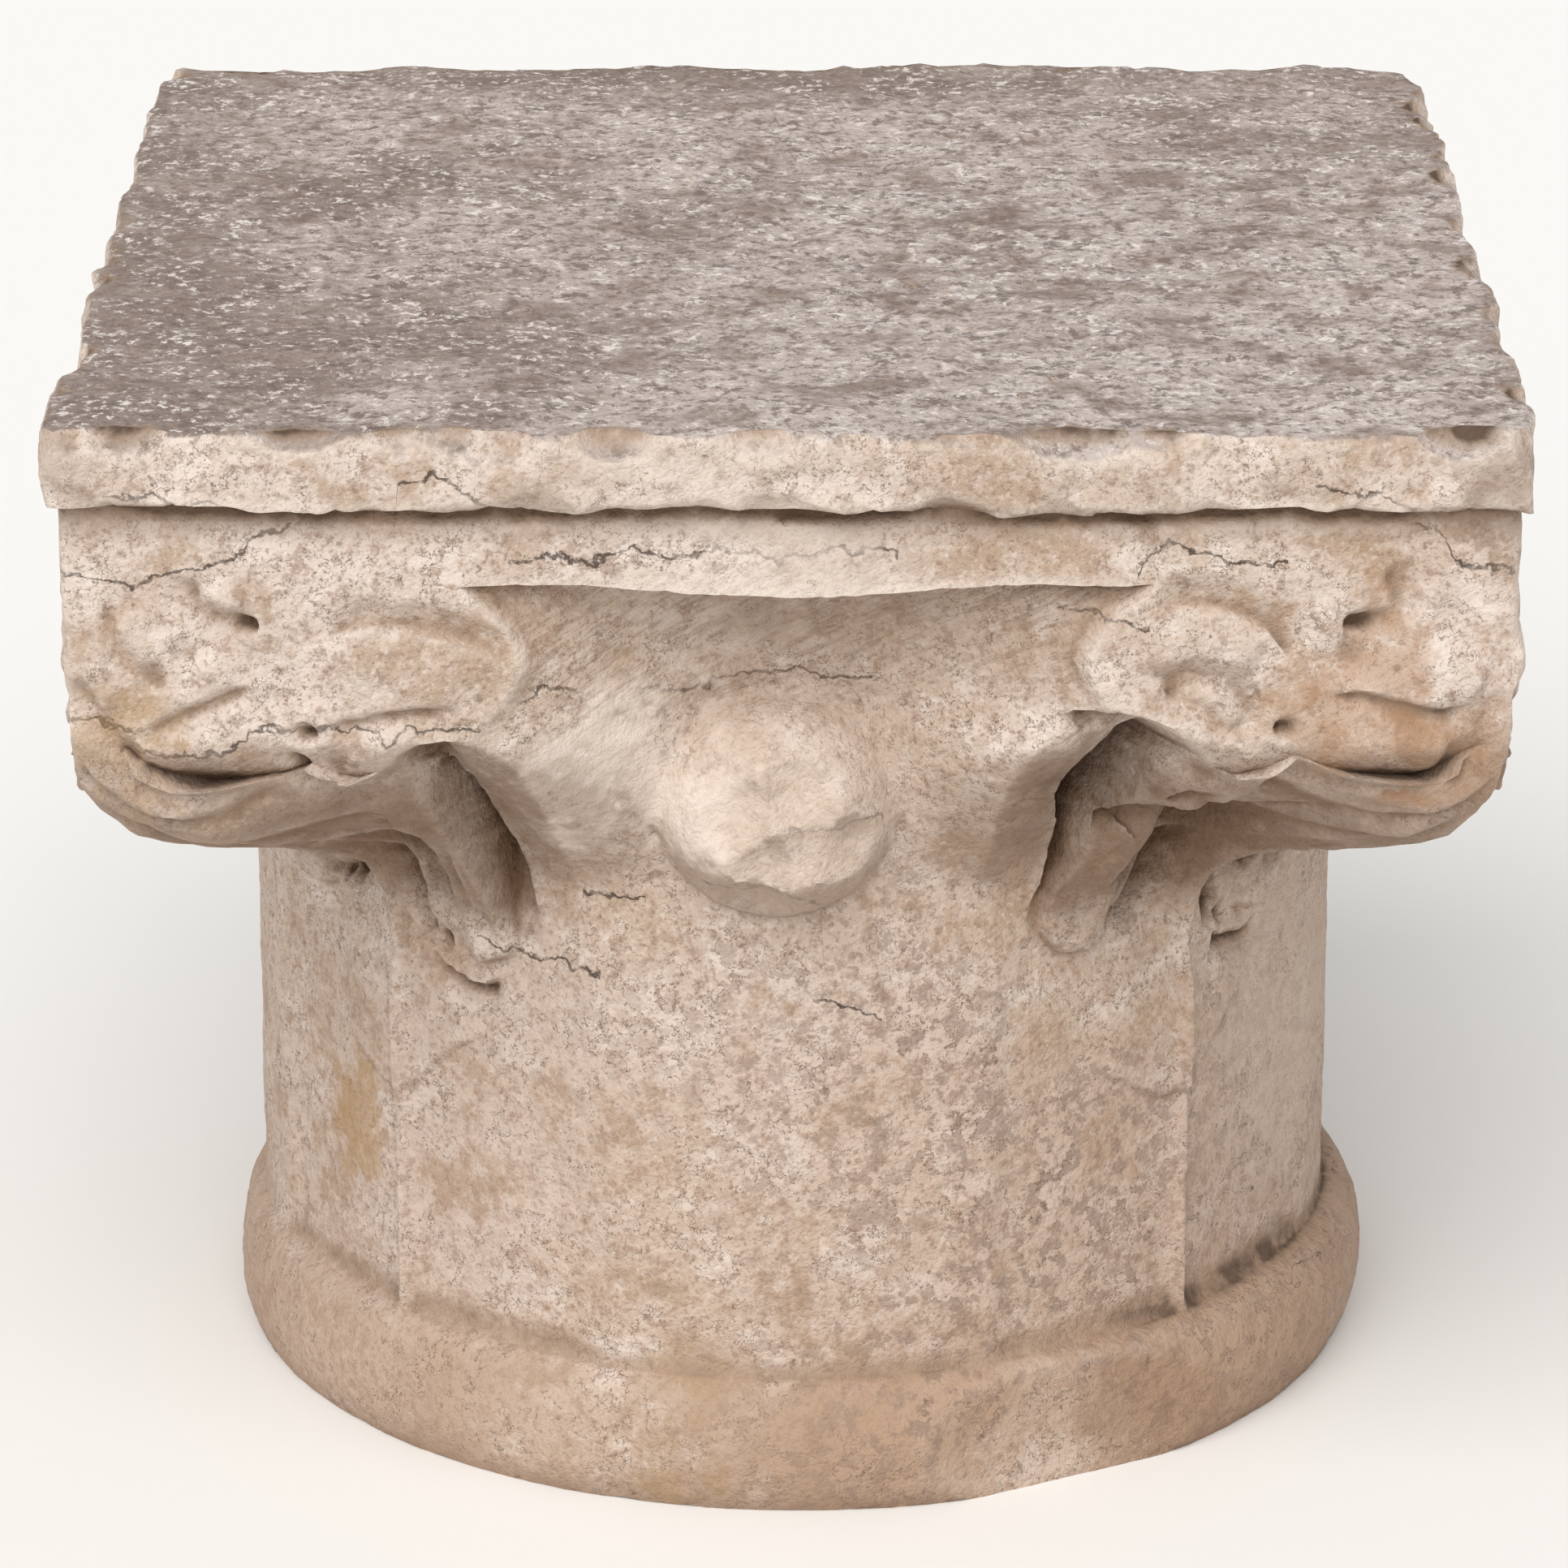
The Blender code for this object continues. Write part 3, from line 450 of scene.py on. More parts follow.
# How far the slab's plan stands inside its square, per place along each side, in millimetres
SLAB_PLAN = {
    "front": ((-254, 0), (254, 0)),
    "right": ((-254, 3), (-230, 1), (-175, 1), (-150, 3), (-110, 1), (-50, 1), (0, 2), (60, 0), (160, 0),
        (213, 0), (245, 3)),
    "back": ((-254, 0), (-240, -6), (-180, -8), (-155, 0), (-140, 2), (-115, 1), (-95, -6), (0, -8),
        (60, -6), (72, 0), (92, 2), (125, 1), (145, -6), (200, -8), (240, -6), (254, 0)),
    "left": ((-254, 4), (-200, 1), (-136, 3), (-63, 2), (17, 1), (93, 0), (114, 3), (135, 4), (155, 2),
        (175, 0), (195, 0), (224, 0), (254, 1)),
}


def hold_behind(radius, sin, cos, z, facing, distance):
    """The radius held behind a plane."""
    n = np.array(facing) / np.linalg.norm(facing)
    slope = n[0] * sin - n[1] * cos
    limit = (distance * MM - n[2] * z) / np.where(slope > 0.05, slope, np.inf)
    return np.where(slope > 0.05, np.minimum(radius, limit), radius)


def scooped(radius, sin, cos, z, centre, size):
    """The radius with a round scoop taken out of what lies in front."""
    reach = sin * centre[0] - cos * centre[1]
    inside = size**2 - (centre[0] ** 2 + centre[1] ** 2 - reach**2) - (z - centre[2]) ** 2
    half = np.sqrt(np.maximum(inside, 0))
    return np.where((inside > 0) & (radius > reach - half) & (radius < reach + half), reach - half, radius)


def edge_chips(side, count, seed):
    """Random scoops along the slab's upper and lower edge on one side: shallow at most, a few deep."""
    random = np.random.default_rng(seed + side)
    turn = side * np.pi / 2
    out, along = np.array([np.sin(turn), -np.cos(turn), 0]), np.array([np.cos(turn), np.sin(turn), 0])
    chips = []
    for number in range(count):
        upper = number % 4 < 3
        size = random.uniform(9, 40) * MM
        depth = (1.0 + 8.5 * random.random() ** 3) * MM
        tilt = random.uniform(0.35, 1.15)
        edge = out * SLAB_HALF + along * random.uniform(-1, 1) * SLAB_HALF
        edge = edge + (0, 0, HEIGHT if upper else SLAB_FOOT)
        direction = out * np.cos(tilt) + np.array([0, 0, np.sin(tilt) * (1 if upper else -1)])
        chips.append((edge + direction * (size - depth), size))
    return chips


SLAB_CHIPS = {name: edge_chips(side, CHIPS_A_SIDE, CHIP_SEED) for side, name in enumerate(SIDES)}


def slab_radius(name, angle, u, sin, cos, z):
    """The slab with its worn edges."""
    slab = squircle(angle, SLAB_HALF, SLAB_SQUARENESS)
    plan = np.array(SLAB_PLAN[name], float)
    # places along a side run from the front to the back on the left and right sides of the plan
    slab = slab - np.interp(u * 254, plan[:, 0], plan[:, 1]) * MM
    place = np.stack([slab * sin, -slab * cos, z], axis=-1)
    flat = place * (1, 1, 0.35)
    worn_top = (2.6 + 2.4 * lumps(flat, 22 * MM, 3) + 2.0 * lumps(flat, 8 * MM, 4)) * MM
    worn_foot = (2.0 + 2.4 * lumps(flat, 28 * MM, 5) + 2.0 * lumps(flat, 9 * MM, 6)) * MM
    for worn, depth in ((worn_top, HEIGHT - z), (worn_foot, z - SLAB_FOOT)):
        worn = np.maximum(worn, 0.8 * MM)
        share = np.clip(1 - depth / (1.5 * worn), 0, 1)
        slab = slab - worn * (1 - np.sqrt(1 - share**2 * 0.98))
    flaked = 3.2 * np.abs(lumps(place, 42 * MM, 7)) + 1.8 * np.abs(lumps(place, 15 * MM, 8))
    slab = slab + (flaked - 3.0) * MM
    for centre, size in SLAB_CHIPS[name]:
        slab = scooped(slab, sin, cos, z, centre, size)
    return slab


print(len(BREAKS), "breaks in the block and", len(BALL_SCOOPS), "scoops off the front ball")


# %% The whole surface: a radius for each direction and height
# The lower edge of the hanging tip: degrees off the corner, and heights in millimetres
TONGUE_EDGE = ((-10, -3.5, -1.4, 1, 2.9, 4.7, 6.9, 9.9), (150, 137, 136, 138, 143, 150, 157, 164))


def hand_drift(side, x, z):
    """The drift of the lines of a leaf that is cut again by hand. The front has none."""
    places = np.stack([x, z, 0 * x + side], axis=-1)
    amount = HAND_DRIFT * (side > 0)
    return x + amount * lumps(places, 45 * MM, 20 + side), z + amount * lumps(places, 45 * MM, 30 + side)


def tongue(turn, z):
    """The middle leaf's hanging tip, a low sheet that lies over the drum below each corner."""
    off = np.degrees((turn % (np.pi / 2)) - np.pi / 4)
    foot = np.interp(off, TONGUE_EDGE[0], TONGUE_EDGE[1]) * MM
    shown = smooth(foot - 1 * MM, foot + 1 * MM, z) * smooth(13, 8, np.abs(off))
    return TONGUE * shown * smooth(215 * MM, 165 * MM, z)


def stone_radius(side, u, z):
    """Radius at each place of one side. u runs from -1 at its left corner to 1 at its right corner."""
    angle = np.arctan(np.abs(u))
    x = FACE_HALF * np.abs(u)
    turn = side * np.pi / 2 + np.arctan(u)
    sin, cos = np.sin(turn), np.cos(turn)
    drift_x, drift_z = hand_drift(side, x, z)
    radius = np.empty(len(z))
    for name, half in (("left", u < 0), ("right", u >= 0)):
        radius[half] = leaf_half(LEAVES[name], angle[half], x[half], z[half])
        raised = np.zeros(half.sum())
        for kind, depth, width, line in CARVING[name]:
            raised += cut_stroke(kind, depth, width, line, drift_x[half], drift_z[half])
        radius[half] += np.maximum(raised, -DEEPEST_CUT)
    band = squircle(angle, FACE_HALF - 3 * MM * smooth(108 * ACROSS, 70 * ACROSS, x), FACE_SQUARENESS)
    flush = smooth(133 * ACROSS, 110 * ACROSS, x) * (z > band_edge(x))
    radius = radius + (np.maximum(radius, band) - radius) * flush
    midrib = MIDRIB * np.exp(-(((x - FACE_HALF) / (7 * MM)) ** 2)) * smooth(205 * MM, 160 * MM, z)
    radius = radius + midrib + tongue(turn, z)
    middle = np.array([np.sin(side * np.pi / 2), -np.cos(side * np.pi / 2), 0]) * (DRUM - BALL_SUNK)
    middle = middle + (BALL_ASIDE * np.cos(side * np.pi / 2), 0, BALL_UP)
    reach = sin * middle[0] - cos * middle[1]
    inside = reach**2 - (middle @ middle + z**2 - 2 * z * middle[2] - BALL**2)
    ball = reach + np.sqrt(np.maximum(inside, 0))
    if side == 0:
        for offset, size in BALL_SCOOPS:
            ball = scooped(ball, sin, cos, z, middle + np.array(offset) * MM, size * MM)
    radius = np.where(inside > 0, joined(radius, ball, BALL_FILLET), radius)
    along = np.stack([x, 0 * x + side, np.sign(u) * x], axis=-1)
    slot = (3.2 + 1.8 * lumps(along, 30 * MM, 9) + 1.2 * lumps(along, 9 * MM, 10)) * MM
    slot = slot * smooth(235 * ACROSS, 190 * ACROSS, x) * smooth(SLAB_FOOT - 8 * MM, SLAB_FOOT - 2 * MM, z)
    radius = np.where(z < SLAB_FOOT, radius - np.maximum(slot, 0), radius)
    radius = np.where(z >= SLAB_FOOT, slab_radius(SIDES[side], angle, u, sin, cos, z), radius)
    radius = np.where(z < RING_TOP + 6 * MM, joined(radius, ring_radius(turn, z), RING_FILLET), radius)
    radius = radius + DRUM_LEAN * sin * smooth(290 * MM, 240 * MM, z)
    for part, facing, distance in BREAKS:
        held = z > 300 * MM if part == "slab" else z < RING_TOP
        radius = np.where(held, hold_behind(radius, sin, cos, z, facing, distance), radius)
    return radius, sin, cos


sample = stone_radius(0, np.array([0.0, -0.9]), np.array([0.1, 0.4]))[0]
print("drum and slab radius in mm:", (sample * 1000).round(1))

# %% [markdown]
# ## From radius to skin
# The rows of the grid follow the leaf's lip and the band's edge, with two rows close together wherever the
# surface steps, so that the edges come out crisp. The front, which is carved finest, gets more columns. The
# top is the last row drawn in towards the middle.

# %% Build the grid
COLUMNS = (500, 250, 230, 250)
ROWS = (34, 80, 104, 70, 22, 3, 24)
TOP_ROWS = 80


def heights(u):
    """Heights of the rows at each place across."""
    x = FACE_HALF * np.abs(u)
    lip = np.where(u < 0, height_at(LEAVES["left"]["lip"], x), height_at(LEAVES["right"]["lip"], x))
    level = 0 * x
    guides = [level, level + RING_TOP, level + 190 * MM, lip, band_edge(x), level + SLAB_FOOT - 5.8 * MM,
              level + SLAB_FOOT - 0.4 * MM, level + HEIGHT]
    gap = 0.6 * MM
    levels = []
    for low, high, count in zip(guides, guides[1:], ROWS):
        start = low + gap * (len(levels) > 0)
        levels += [start + (high - start) * step / count for step in range(count + 1)]
    return np.array(levels)


def side_skin(side):
    """Radius and places of one side's grid."""
    u = -1 + 2 * np.arange(COLUMNS[side]) / COLUMNS[side]
    up = heights(u)
    across = np.broadcast_to(u, up.shape)
    radius, sin, cos = stone_radius(side, across.ravel(), up.ravel())
    places = np.stack([radius * sin, -radius * cos, up.ravel()], axis=-1)
    return radius.reshape(up.shape), places.reshape(*up.shape, 3)


def uneven(places):
    """The slab's top dips and its lower edge wanders, as under a hand chisel and long wear."""
    flat = places.reshape(-1, 3)
    z = flat[:, 2]
    plan = flat * (1, 1, 0)
    dip = (1.6 + 1.3 * lumps(plan, 55 * MM, 13) + 0.9 * lumps(plan, 17 * MM, 14)) * MM
    wave = (2.4 * lumps(plan, 40 * MM, 15) + 1.2 * lumps(plan, 10 * MM, 16)) * MM
    z = z - dip * np.clip((z - SLAB_FOOT) / (HEIGHT - SLAB_FOOT), 0, 1)
    z = z + wave * np.exp(-(((z - SLAB_FOOT) / (8 * MM)) ** 2))
    return np.concatenate([flat[:, :2], z[:, None]], axis=1).reshape(places.shape)


skins = [side_skin(side) for side in range(4)]
radius_grid = np.concatenate([radius for radius, places in skins], axis=1)
grid = np.concatenate([places for radius, places in skins], axis=1)
print("grid of", grid.shape[0], "rows and", grid.shape[1], "columns")

# %% [markdown]
# ## Where dirt and painted shade lie, and where hands have rubbed
# Dirt gathers in hollows and rubbing pales what stands out. The material also darkens the hollows with
# painted shade and lightens the crests with a painted highlight. Both come from the shape: a place that lies
# behind the average of its surroundings is hollow, and one that stands in front of it is a crest. The two
# are kept as attributes of the mesh, and the stone's material reads them. A third one tells how deep a
# place lies sheltered under the band or inside an arch. There rain never washed the brown crust off, the
# mason's comb marks stayed sharp, and the material paints the shade that falls there. A fourth marks the
# leaves' undersides, which get painted shade and dirt.

# %% Measure hollows and crests
step_up = np.gradient(grid[:, :, 2], axis=0).mean()
turns = np.concatenate([np.arctan(np.abs(-1 + 2 * np.arange(count) / count)) for count in COLUMNS])
narrow = blurred(radius_grid, int(5 * MM / step_up), 5) - radius_grid
wide = blurred(radius_grid, int(16 * MM / step_up), 14) - radius_grid
hollow = np.clip(narrow / (3 * MM), 0, 1) * 0.6 + np.clip((wide - 2 * MM) / (7 * MM), 0, 1) * 0.9
open_bell = smooth(21.5, 19.5, np.degrees(turns)) * smooth(195 * MM, 215 * MM, grid[:, :, 2])
hollow = hollow * (1 - 0.8 * open_bell * (grid[:, :, 2] < SLAB_FOOT - 20 * MM))
crest = np.clip(-narrow / (2.5 * MM), 0, 1)
behind = squircle(turns, FACE_HALF, FACE_SQUARENESS) - radius_grid
under_band = smooth(300 * MM, 345 * MM, grid[:, :, 2]) * (grid[:, :, 2] < SLAB_FOOT)
shelter = smooth(1 * MM, 12 * MM, behind) * under_band
# the strip inside each arch and the underside of the leaf are sheltered too
under = np.zeros(grid.shape[:2])
first = 0
for count in COLUMNS:
    for name, start, end in (("left", 0, count // 2), ("right", count // 2, count)):
        part = slice(first + start, first + end)
        x, z = FACE_HALF * np.tan(turns[part])[None, :], grid[:, part, 2]
        leaf = LEAVES[name]
        bevel, edge, lip = across_at(leaf["bevel"], z), across_at(leaf["edge"], z), height_at(leaf["lip"], x)
        inside = smooth(bevel - 1 * MM, bevel + 2 * MM, x) * smooth(lip + 1 * MM, lip - 2 * MM, z)
        strip = inside * smooth(edge + 2 * MM, edge - 1 * MM, x) * smooth(215 * MM, 270 * MM, z)
        shelter[:, part] = np.maximum(shelter[:, part], 0.9 * strip)
        arch_top = smooth(lip - 38 * MM, lip - 8 * MM, z) * smooth(152 * MM, 128 * MM, x)
        deep = 0.4 + 0.6 * np.maximum(smooth(10 * MM, 40 * MM, behind[:, part]), arch_top)
        blade = smooth(edge - 2 * MM, edge + 3 * MM, x)
        under[:, part] = deep * inside * blade * smooth(200 * MM, 232 * MM, z)
    first += count
print("share of the skin that is hollow:", (hollow > 0.3).mean().round(3))
print("share of the skin that is crest:", (crest > 0.3).mean().round(3))

# %% Draw the top in and join everything to one closed mesh
shrink = np.linspace(1, 0, TOP_ROWS + 1)[1:-1]
top_rows = [grid[-1] * (share, share, 1) for share in shrink]
places = uneven(np.concatenate([grid, np.array(top_rows)]))
rows, columns = places.shape[:2]
number = np.arange(rows * columns).reshape(rows, columns)
low, high = number[:-1], number[1:]
quads = np.stack([low, np.roll(low, -1, axis=1), np.roll(high, -1, axis=1), high], axis=-1).reshape(-1, 4)
faces = quads.tolist() + [number[-1].tolist(), number[0][::-1].tolist()]
block = bpy.data.meshes.new("marble_skin")
block.from_pydata(places.reshape(-1, 3).tolist(), [], faces)
flat = np.zeros((len(shrink), columns))
for name, field in (("hollow", hollow), ("crest", crest), ("shelter", shelter), ("under", under)):
    values = np.concatenate([field, flat]).ravel().astype(np.float32)
    block.attributes.new(name, "FLOAT", "POINT").data.foreach_set("value", values)
print("skin of", len(block.vertices), "points")

# %% [markdown]
# ## Colours and a helper for nodes
# Colours are written as the hex values of an ordinary colour picker and turned to Blender's linear values
# here.


# %% Colour and node helpers
def linear(code):
    """A colour code like C8B09C as the linear colour that Blender works in."""
    parts = [int(code[i:i + 2], 16) / 255 for i in (0, 2, 4)]
    return tuple(p / 12.92 if p <= 0.04045 else ((p + 0.055) / 1.055) ** 2.4 for p in parts) + (1,)


def add(tree, kind, links=None, **settings):
    """One node, its settings by name, and its inputs: a value, or another node's output to link."""
    node = tree.nodes.new(kind)
    for name, value in settings.items():
        setattr(node, name, value)
    for key, value in (links or {}).items():
        socket = node.inputs[key]
        if isinstance(value, bpy.types.NodeSocket):
            tree.links.new(value, socket)
        else:
            socket.default_value = value
    return node


print("warm beige in linear light:", [round(c, 3) for c in linear("D6C2B2")])

# %% [markdown]
# ## The stone's material
# Warm beige marble, cut with point and claw chisels and weathered outdoors for centuries. That gives a
# matt, slightly powdery face; a mottled warm colour with darker freckles; thin dark seams, along which the
# bed of the stone runs; grey grime and pale specks of shell on the top, where rain stood; and brown dirt in
# the deep folds. Painted shade darkens the folds, the recesses, the arches and the undersides. A painted
# highlight lightens the crests, and a few pale and dark patches paint light and shade. Every pattern is
# noise in the stone's own space, at a size in millimetres, so it runs through the block as a real bed does.

# %% Tools for the material
marble = bpy.data.materials.new("weathered_marble_point_chiselled")
marble.use_nodes = True
tree = marble.node_tree
tree.nodes.clear()
here = add(tree, "ShaderNodeTexCoord").outputs["Object"]


def noise(size_mm, detail, rough, place=None):
    """Soft noise with features of about the given size."""
    inputs = {"Vector": place or here, "Scale": 1 / (size_mm * MM), "Detail": detail, "Roughness": rough}
    return add(tree, "ShaderNodeTexNoise", inputs).outputs["Fac"]


def ramp(value, low, high, start=0.0, end=1.0):
    """The value's stretch from low to high, turned to start to end."""
    inputs = {"Value": value, "From Min": low, "From Max": high, "To Min": start, "To Max": end}
    return add(tree, "ShaderNodeMapRange", inputs, interpolation_type="SMOOTHSTEP").outputs["Result"]


def sums(operation, a, b=0.0, clamp=False):
    """One sum of two values, each a number or another node's output."""
    return add(tree, "ShaderNodeMath", {0: a, 1: b}, operation=operation, use_clamp=clamp).outputs[0]


def times(a, b, clamp=False):
    return sums("MULTIPLY", a, b, clamp)


def mixed(amount, below, above):
    """One colour over another. A text is a colour code."""
    below, above = (linear(c) if isinstance(c, str) else c for c in (below, above))
    node = add(tree, "ShaderNodeMix", data_type="RGBA")
    for socket, value in ((node.inputs[0], amount), (node.inputs[6], below), (node.inputs[7], above)):
        if isinstance(value, bpy.types.NodeSocket):
            tree.links.new(value, socket)
        else:
            socket.default_value = value
    return node.outputs[2]


def field(name):
    """One of the mesh's own attributes."""
    return add(tree, "ShaderNodeAttribute", attribute_name=name).outputs["Fac"]


apart = add(tree, "ShaderNodeSeparateXYZ", {"Vector": here})
at_x, at_y, at_z = (apart.outputs[i] for i in range(3))
facing = add(tree, "ShaderNodeSeparateXYZ", {"Vector": add(tree, "ShaderNodeNewGeometry").outputs["Normal"]})
faces_up = facing.outputs[2]
print("material:", marble.name)

# %% Body colour: beige clouds, bloom, mottling and specks
clouds = noise(110, 3, 0.6)
mottle = noise(30, 4, 0.72)
speckle = noise(6.5, 3, 0.75)
tiny = noise(2.2, 2, 0.65)
body = mixed(ramp(clouds, 0.38, 0.62), "C9B4A3", "DBCABE")
body = mixed(ramp(mottle, 0.49, 0.37, 0.0, 0.75), body, "B0967F")
body = mixed(ramp(mottle, 0.53, 0.64, 0.0, 0.65), body, "EADDD3")
body = mixed(ramp(speckle, 0.52, 0.65, 0.0, 0.6), body, "9F8472")
body = mixed(ramp(speckle, 0.43, 0.33, 0.0, 0.4), body, "E8DCD2")
body = mixed(ramp(tiny, 0.56, 0.68, 0.0, 0.55), body, "8A6D5C")
body = mixed(ramp(tiny, 0.42, 0.33, 0.0, 0.3), body, "EDE3DA")
# brown crust, thicker on the right and on the lower drum and the ring
low = ramp(at_z, 0.25, 0.15)
right_side = times(ramp(at_x, -0.02, 0.10), ramp(at_z, 0.31, 0.27))
ring_low = ramp(at_z, 0.056, 0.044)
crust = sums("ADD", times(low, 0.26), times(right_side, 0.20))
crust = sums("ADD", crust, times(ring_low, 0.42))
crust = times(crust, ramp(clouds, 0.3, 0.62, 0.4, 1.3), clamp=True)
body = mixed(crust, body, "B2947D")
# dark freckles of 4 to 12 mm on the drum, strongest right of the middle
freckle = ramp(noise(7, 3, 0.75), 0.48, 0.6)
on_drum = times(ramp(at_z, 0.285, 0.22), ramp(clouds, 0.38, 0.52))
freckled = times(times(freckle, on_drum), ramp(at_x, -0.10, 0.05, 0.25, 1.0))
freckled = times(freckled, ramp(at_x, 0.18, 0.12, 0.5, 1.0))
body = mixed(times(freckled, 0.62), body, "8C7567")

# %% Hairlines: fine, short and crooked cracks, all over
hair = sums("ABSOLUTE", sums("SUBTRACT", noise(14, 4, 0.75), 0.5))
hairline = times(ramp(hair, 0.015, 0.002), ramp(mottle, 0.46, 0.54))
body = mixed(times(hairline, 0.7), body, "66503F")

# %% Seams of the stone's bed, each a line across the front: place across, then place up, in millimetres
SEAMS = (
    ((-250, 369), (-228, 365), (-222, 362), (-215, 368), (-200, 370), (-190, 374), (-181, 379), (-178, 383),
     (-168, 386)),
    ((-232, 396), (-215, 399), (-205, 394), (-195, 396), (-187, 390), (-178, 387)),
    ((-134, 400), (-120, 404), (-108, 398), (-98, 390)),
    ((-96, 371), (-80, 374), (-66, 371), (-52, 376), (-38, 373), (-24, 377), (-4, 372), (16, 376),
     (38, 374)),
    ((117, 367), (123, 375), (128, 380), (135, 376), (143, 375), (148, 371), (157, 373), (170, 371)),
    ((211, 386), (219, 384), (226, 371), (233, 370), (246, 369)),
    ((90, 352), (100, 353), (110, 351), (123, 349)),
    ((-230, 303), (-207, 303), (-196, 303), (-188, 306), (-184, 312), (-171, 313), (-158, 312), (-142, 312),
     (-138, 307), (-130, 312), (-116, 312), (-105, 311)),
    ((-94, 320), (-82, 324), (-70, 320), (-57, 318), (-47, 317), (-38, 315), (-28, 315), (-22, 318),
     (-12, 320), (3, 321), (9, 318), (21, 317), (30, 319)),
    ((-112, 206), (-98, 203), (-84, 202), (-66, 200)),
    ((-74, 232), (-64, 230), (-50, 231)),
    ((76, 275), (86, 274), (94, 271), (103, 268)),
    ((8, 196), (20, 192), (34, 186)),
    ((-32, 247), (-22, 242), (-8, 246), (4, 240), (12, 236)),
    ((-2, 270), (10, 267), (24, 270), (34, 269)),
    ((176, 400), (195, 399), (212, 391)),
    ((-252, 318), (-236, 314), (-222, 310)),
)
SEAM_WIDTH = 1.1 * MM
jagged = noise(8, 3, 0.62)
wander = times(sums("SUBTRACT", jagged, 0.5), 13 * MM)
wandering_z = sums("ADD", at_z, wander)
at_front = ramp(at_y, -0.10, -0.13)
across_range = {"Value": at_x, "From Min": -260 * MM, "From Max": 260 * MM}
share_across = add(tree, "ShaderNodeMapRange", across_range).outputs["Result"]


def seam_paths():
    """The seams joined to as few paths as can be. Between two seams a path drops far below the stone."""
    paths = []
    for points in sorted(SEAMS):
        free = [path for path in paths if path[-1][0] + 5 < points[0][0]]
        if not free:
            paths.append([])
        path = free[0] if free else paths[-1]
        path += [(points[0][0] - 2, -100), *points, (points[-1][0] + 2, -100)]
    return paths


def seam(points):
    """A jagged dark line over the front that follows the points."""
    curve = add(tree, "ShaderNodeFloatCurve", {"Value": share_across})
    path = curve.mapping.curves[0]
    for x, z in points:
        path.points.new((x + 260) / 520, (z + 100) / 520)
    path.points[0].location = (0, 0)
    path.points[-1].location = (1, 0)
    for point in path.points:
        point.handle_type = "VECTOR"
    curve.mapping.update()
    line = sums("SUBTRACT", times(curve.outputs[0], 520 * MM), 100 * MM)
    off = sums("ABSOLUTE", sums("SUBTRACT", wandering_z, line))
    return ramp(off, SEAM_WIDTH, 0.3 * SEAM_WIDTH)


paths = seam_paths()
seams = 0.0
for points in paths:
    seams = sums("MAXIMUM", seams, seam(points))
seams = times(seams, at_front)
# the same kind of seam runs round the other sides along a tilted bed
bed = add(tree, "ShaderNodeVectorMath", {0: here, 1: (1.0, 1.0, 3.5)}, operation="MULTIPLY").outputs[0]
bedding = ramp(sums("ABSOLUTE", sums("SUBTRACT", noise(70, 3, 0.65, bed), 0.5)), 0.003, 0.0005)
bedding = times(bedding, ramp(clouds, 0.5, 0.58))
seams = sums("MAXIMUM", seams, times(bedding, sums("SUBTRACT", 1.0, at_front)))
broken = ramp(speckle, 0.3, 0.55, 0.4, 1.0)
body = mixed(times(seams, times(broken, 0.85)), body, "2E1E13")
print(len(SEAMS), "seams on the front in", len(paths), "paths")


# %% Stains: ochre where iron bled, white where lime was splashed; also pale patches of painted light and dark patches of painted shade
STAINS_AND_PAINTED_LIGHT = (
    # painted light: a pale patch that lifts the shaded slope between the ball and the left arch
    ((-64, -222, 284), 48, "EDDED2", 0.85),
    ((-20, -246, 376), 60, "E6D8CD", 0.5),
    ((-67, -206, 334), 24, "A67C42", 0.7),
    ((-158, -127, 115), 26, "B08A58", 0.5),
    ((196, -248, 326), 40, "A97E58", 0.5),
    ((238, -246, 300), 40, "9C7350", 0.55),
    ((-254, -250, 408), 26, "A08A79", 0.5),
    ((250, -250, 408), 34, "8F7A6B", 0.6),
    ((-40, -190, 20), 30, "B39063", 0.35),
    ((2, -246, 262), 12, "EFE7E1", 0.6),
    ((-60, -250, 345), 16, "F0E6DE", 0.3),
    ((-235, -248, 300), 30, "B7935F", 0.35),
    # painted light: a pale patch that lifts the shaded right side of the drum
    ((190, -75, 140), 70, "D2BEAE", 0.5),
    ((-20, -215, 24), 60, "A98C72", 0.4),
    ((130, -172, 16), 40, "8C6A50", 0.4),
    ((-2, -246, 236), 12, "8B6E54", 0.5),
    # painted shadow: dark patches inside the right and the left arch
    ((118, -204, 282), 34, "4A3322", 0.85),
    ((-122, -204, 270), 30, "5E442D", 0.5),
    ((115, -213, 294), 8, "F6F3F0", 1.0),
)
ragged = sums("SUBTRACT", mottle, 0.5)
for centre, size_mm, patch_colour, strength in STAINS_AND_PAINTED_LIGHT:
    centre = tuple(value * MM for value in centre)
    away = add(tree, "ShaderNodeVectorMath", {0: here, 1: centre}, operation="DISTANCE").outputs["Value"]
    away = sums("ADD", away, times(ragged, 3.4 * size_mm * MM))
    body = mixed(ramp(away, size_mm * MM, 0.35 * size_mm * MM, 0.0, strength), body, patch_colour)
# the front ball, rubbed clean and evenly warm
ball_middle = (BALL_ASIDE, BALL_SUNK - DRUM, BALL_UP)
from_ball = add(tree, "ShaderNodeVectorMath", {0: here, 1: ball_middle}, operation="DISTANCE")
body = mixed(ramp(from_ball.outputs["Value"], BALL + 3 * MM, BALL - 3 * MM, 0.0, 0.5), body, "DCCABB")
print(len(STAINS_AND_PAINTED_LIGHT), "stains")
